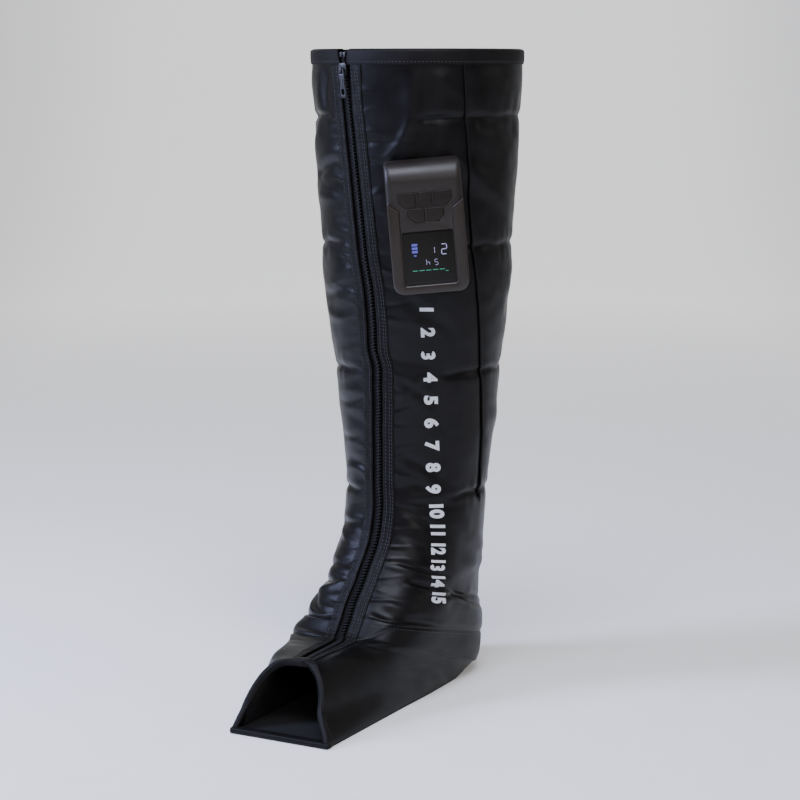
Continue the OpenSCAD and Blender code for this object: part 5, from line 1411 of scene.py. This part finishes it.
def scale_s(t):
    """s on the middle line of the scale at each t."""
    knots, s = np.array(SCALE).T
    i = stretch(knots, t)
    h = knots[i + 1] - knots[i]
    slope = np.gradient(s, knots)
    return cubic(s[i], s[i + 1], slope[i], slope[i + 1], h, (t - knots[i]) / h)


def printed(outlines):
    """Flat outlines in (down, across) millimetres as a thin print that follows the cloth."""
    bm = bmesh.new()
    bm.from_mesh(outlines)
    for normal, low, high in (((1, 0, 0), -20, 380), ((0, 1, 0), -20, 20)):
        for k in range(low, high, 3):
            bmesh.ops.bisect_plane(bm, geom=bm.verts[:] + bm.edges[:] + bm.faces[:],
                                   plane_co=Vector(normal) * k, plane_no=normal)
    bmesh.ops.triangulate(bm, faces=bm.faces)
    flat = np.array([v.co for v in bm.verts])
    t = SCALE[0][0] + flat[:, 0] / 100
    s = scale_s(t) + flat[:, 1]
    points = np.concatenate([skin(t, s, h) for h in (0.32, 0.02)])
    faces = [[v.index for v in f.verts] for f in bm.faces]
    count = len(flat)
    sides = [[b, a, a + count, b + count] for a, b in open_edges(faces)]
    faces = faces + [[i + count for i in f[::-1]] for f in faces] + sides
    bm.free()
    mesh = mesh_from("printed_scale", points, faces, np.concatenate([flat[:, :2] / 100] * 2), False)
    made = add_object("printed_scale", mesh)
    outward_faces(made)
    return made


def three():
    """The outline of a bold 3 as a cyclic 2D curve: two open rings that share a bar."""
    ring, half = 2.75, 1.7
    curve = bpy.data.curves.new("number", "CURVE")
    curve.dimensions, curve.fill_mode = "2D", "BOTH"
    meet = math.degrees(math.asin(ring / (ring + half)))

    def arc(y, r, start, end):
        return [(r * math.cos(a), y + r * math.sin(a)) for a in np.radians(np.linspace(start, end, 16))]

    outline = (arc(ring, ring + half, 150, -meet) + arc(-ring, ring + half, meet, -150)
               + arc(-ring, ring - half, -150, 90) + [(-1.6, -half), (-1.6, half)]
               + arc(ring, ring - half, -90, 150))
    closed_line(curve, outline)
    return curve


def flat_text(body, x, y, size, turn):
    """One figure of the scale as a flat mesh in millimetres, turned about its middle."""
    if body == "3":
        curve = three()
    else:
        curve = bpy.data.curves.new("number", "FONT")
        curve.body, curve.size, curve.align_x, curve.align_y = body, size, "CENTER", "CENTER"
        curve.offset = 0.9
    mesh = plain_mesh(add_object("number", curve))
    mesh.transform(Matrix.Translation((x, y, 0)) @ Matrix.Rotation(turn, 4, "Z"))
    return add_object("number", mesh)


# The numbers 1 to 15 run down the leg, and a 9 is a 6 turned over. All sizes are in millimetres
FIRST_AT, NUMBER_PITCH, FIGURE_PITCH, FIGURE_SIZE = 10, 22.6, 8.6, 18
marks = []
for k in range(15):
    for j, figure in enumerate(str(k + 1)):
        shift = (j - 0.5) * FIGURE_PITCH if k > 8 else 0
        marks.append(flat_text("6" if figure == "9" else figure, FIRST_AT + NUMBER_PITCH * k + shift, 0,
                               FIGURE_SIZE, math.pi if figure == "9" else 0))
scale_flat = join("number", marks)
scale = printed(scale_flat.data)
bpy.data.objects.remove(scale_flat)
dress(scale, "sleeve", "padded_cloth", PRINT)

low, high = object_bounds()
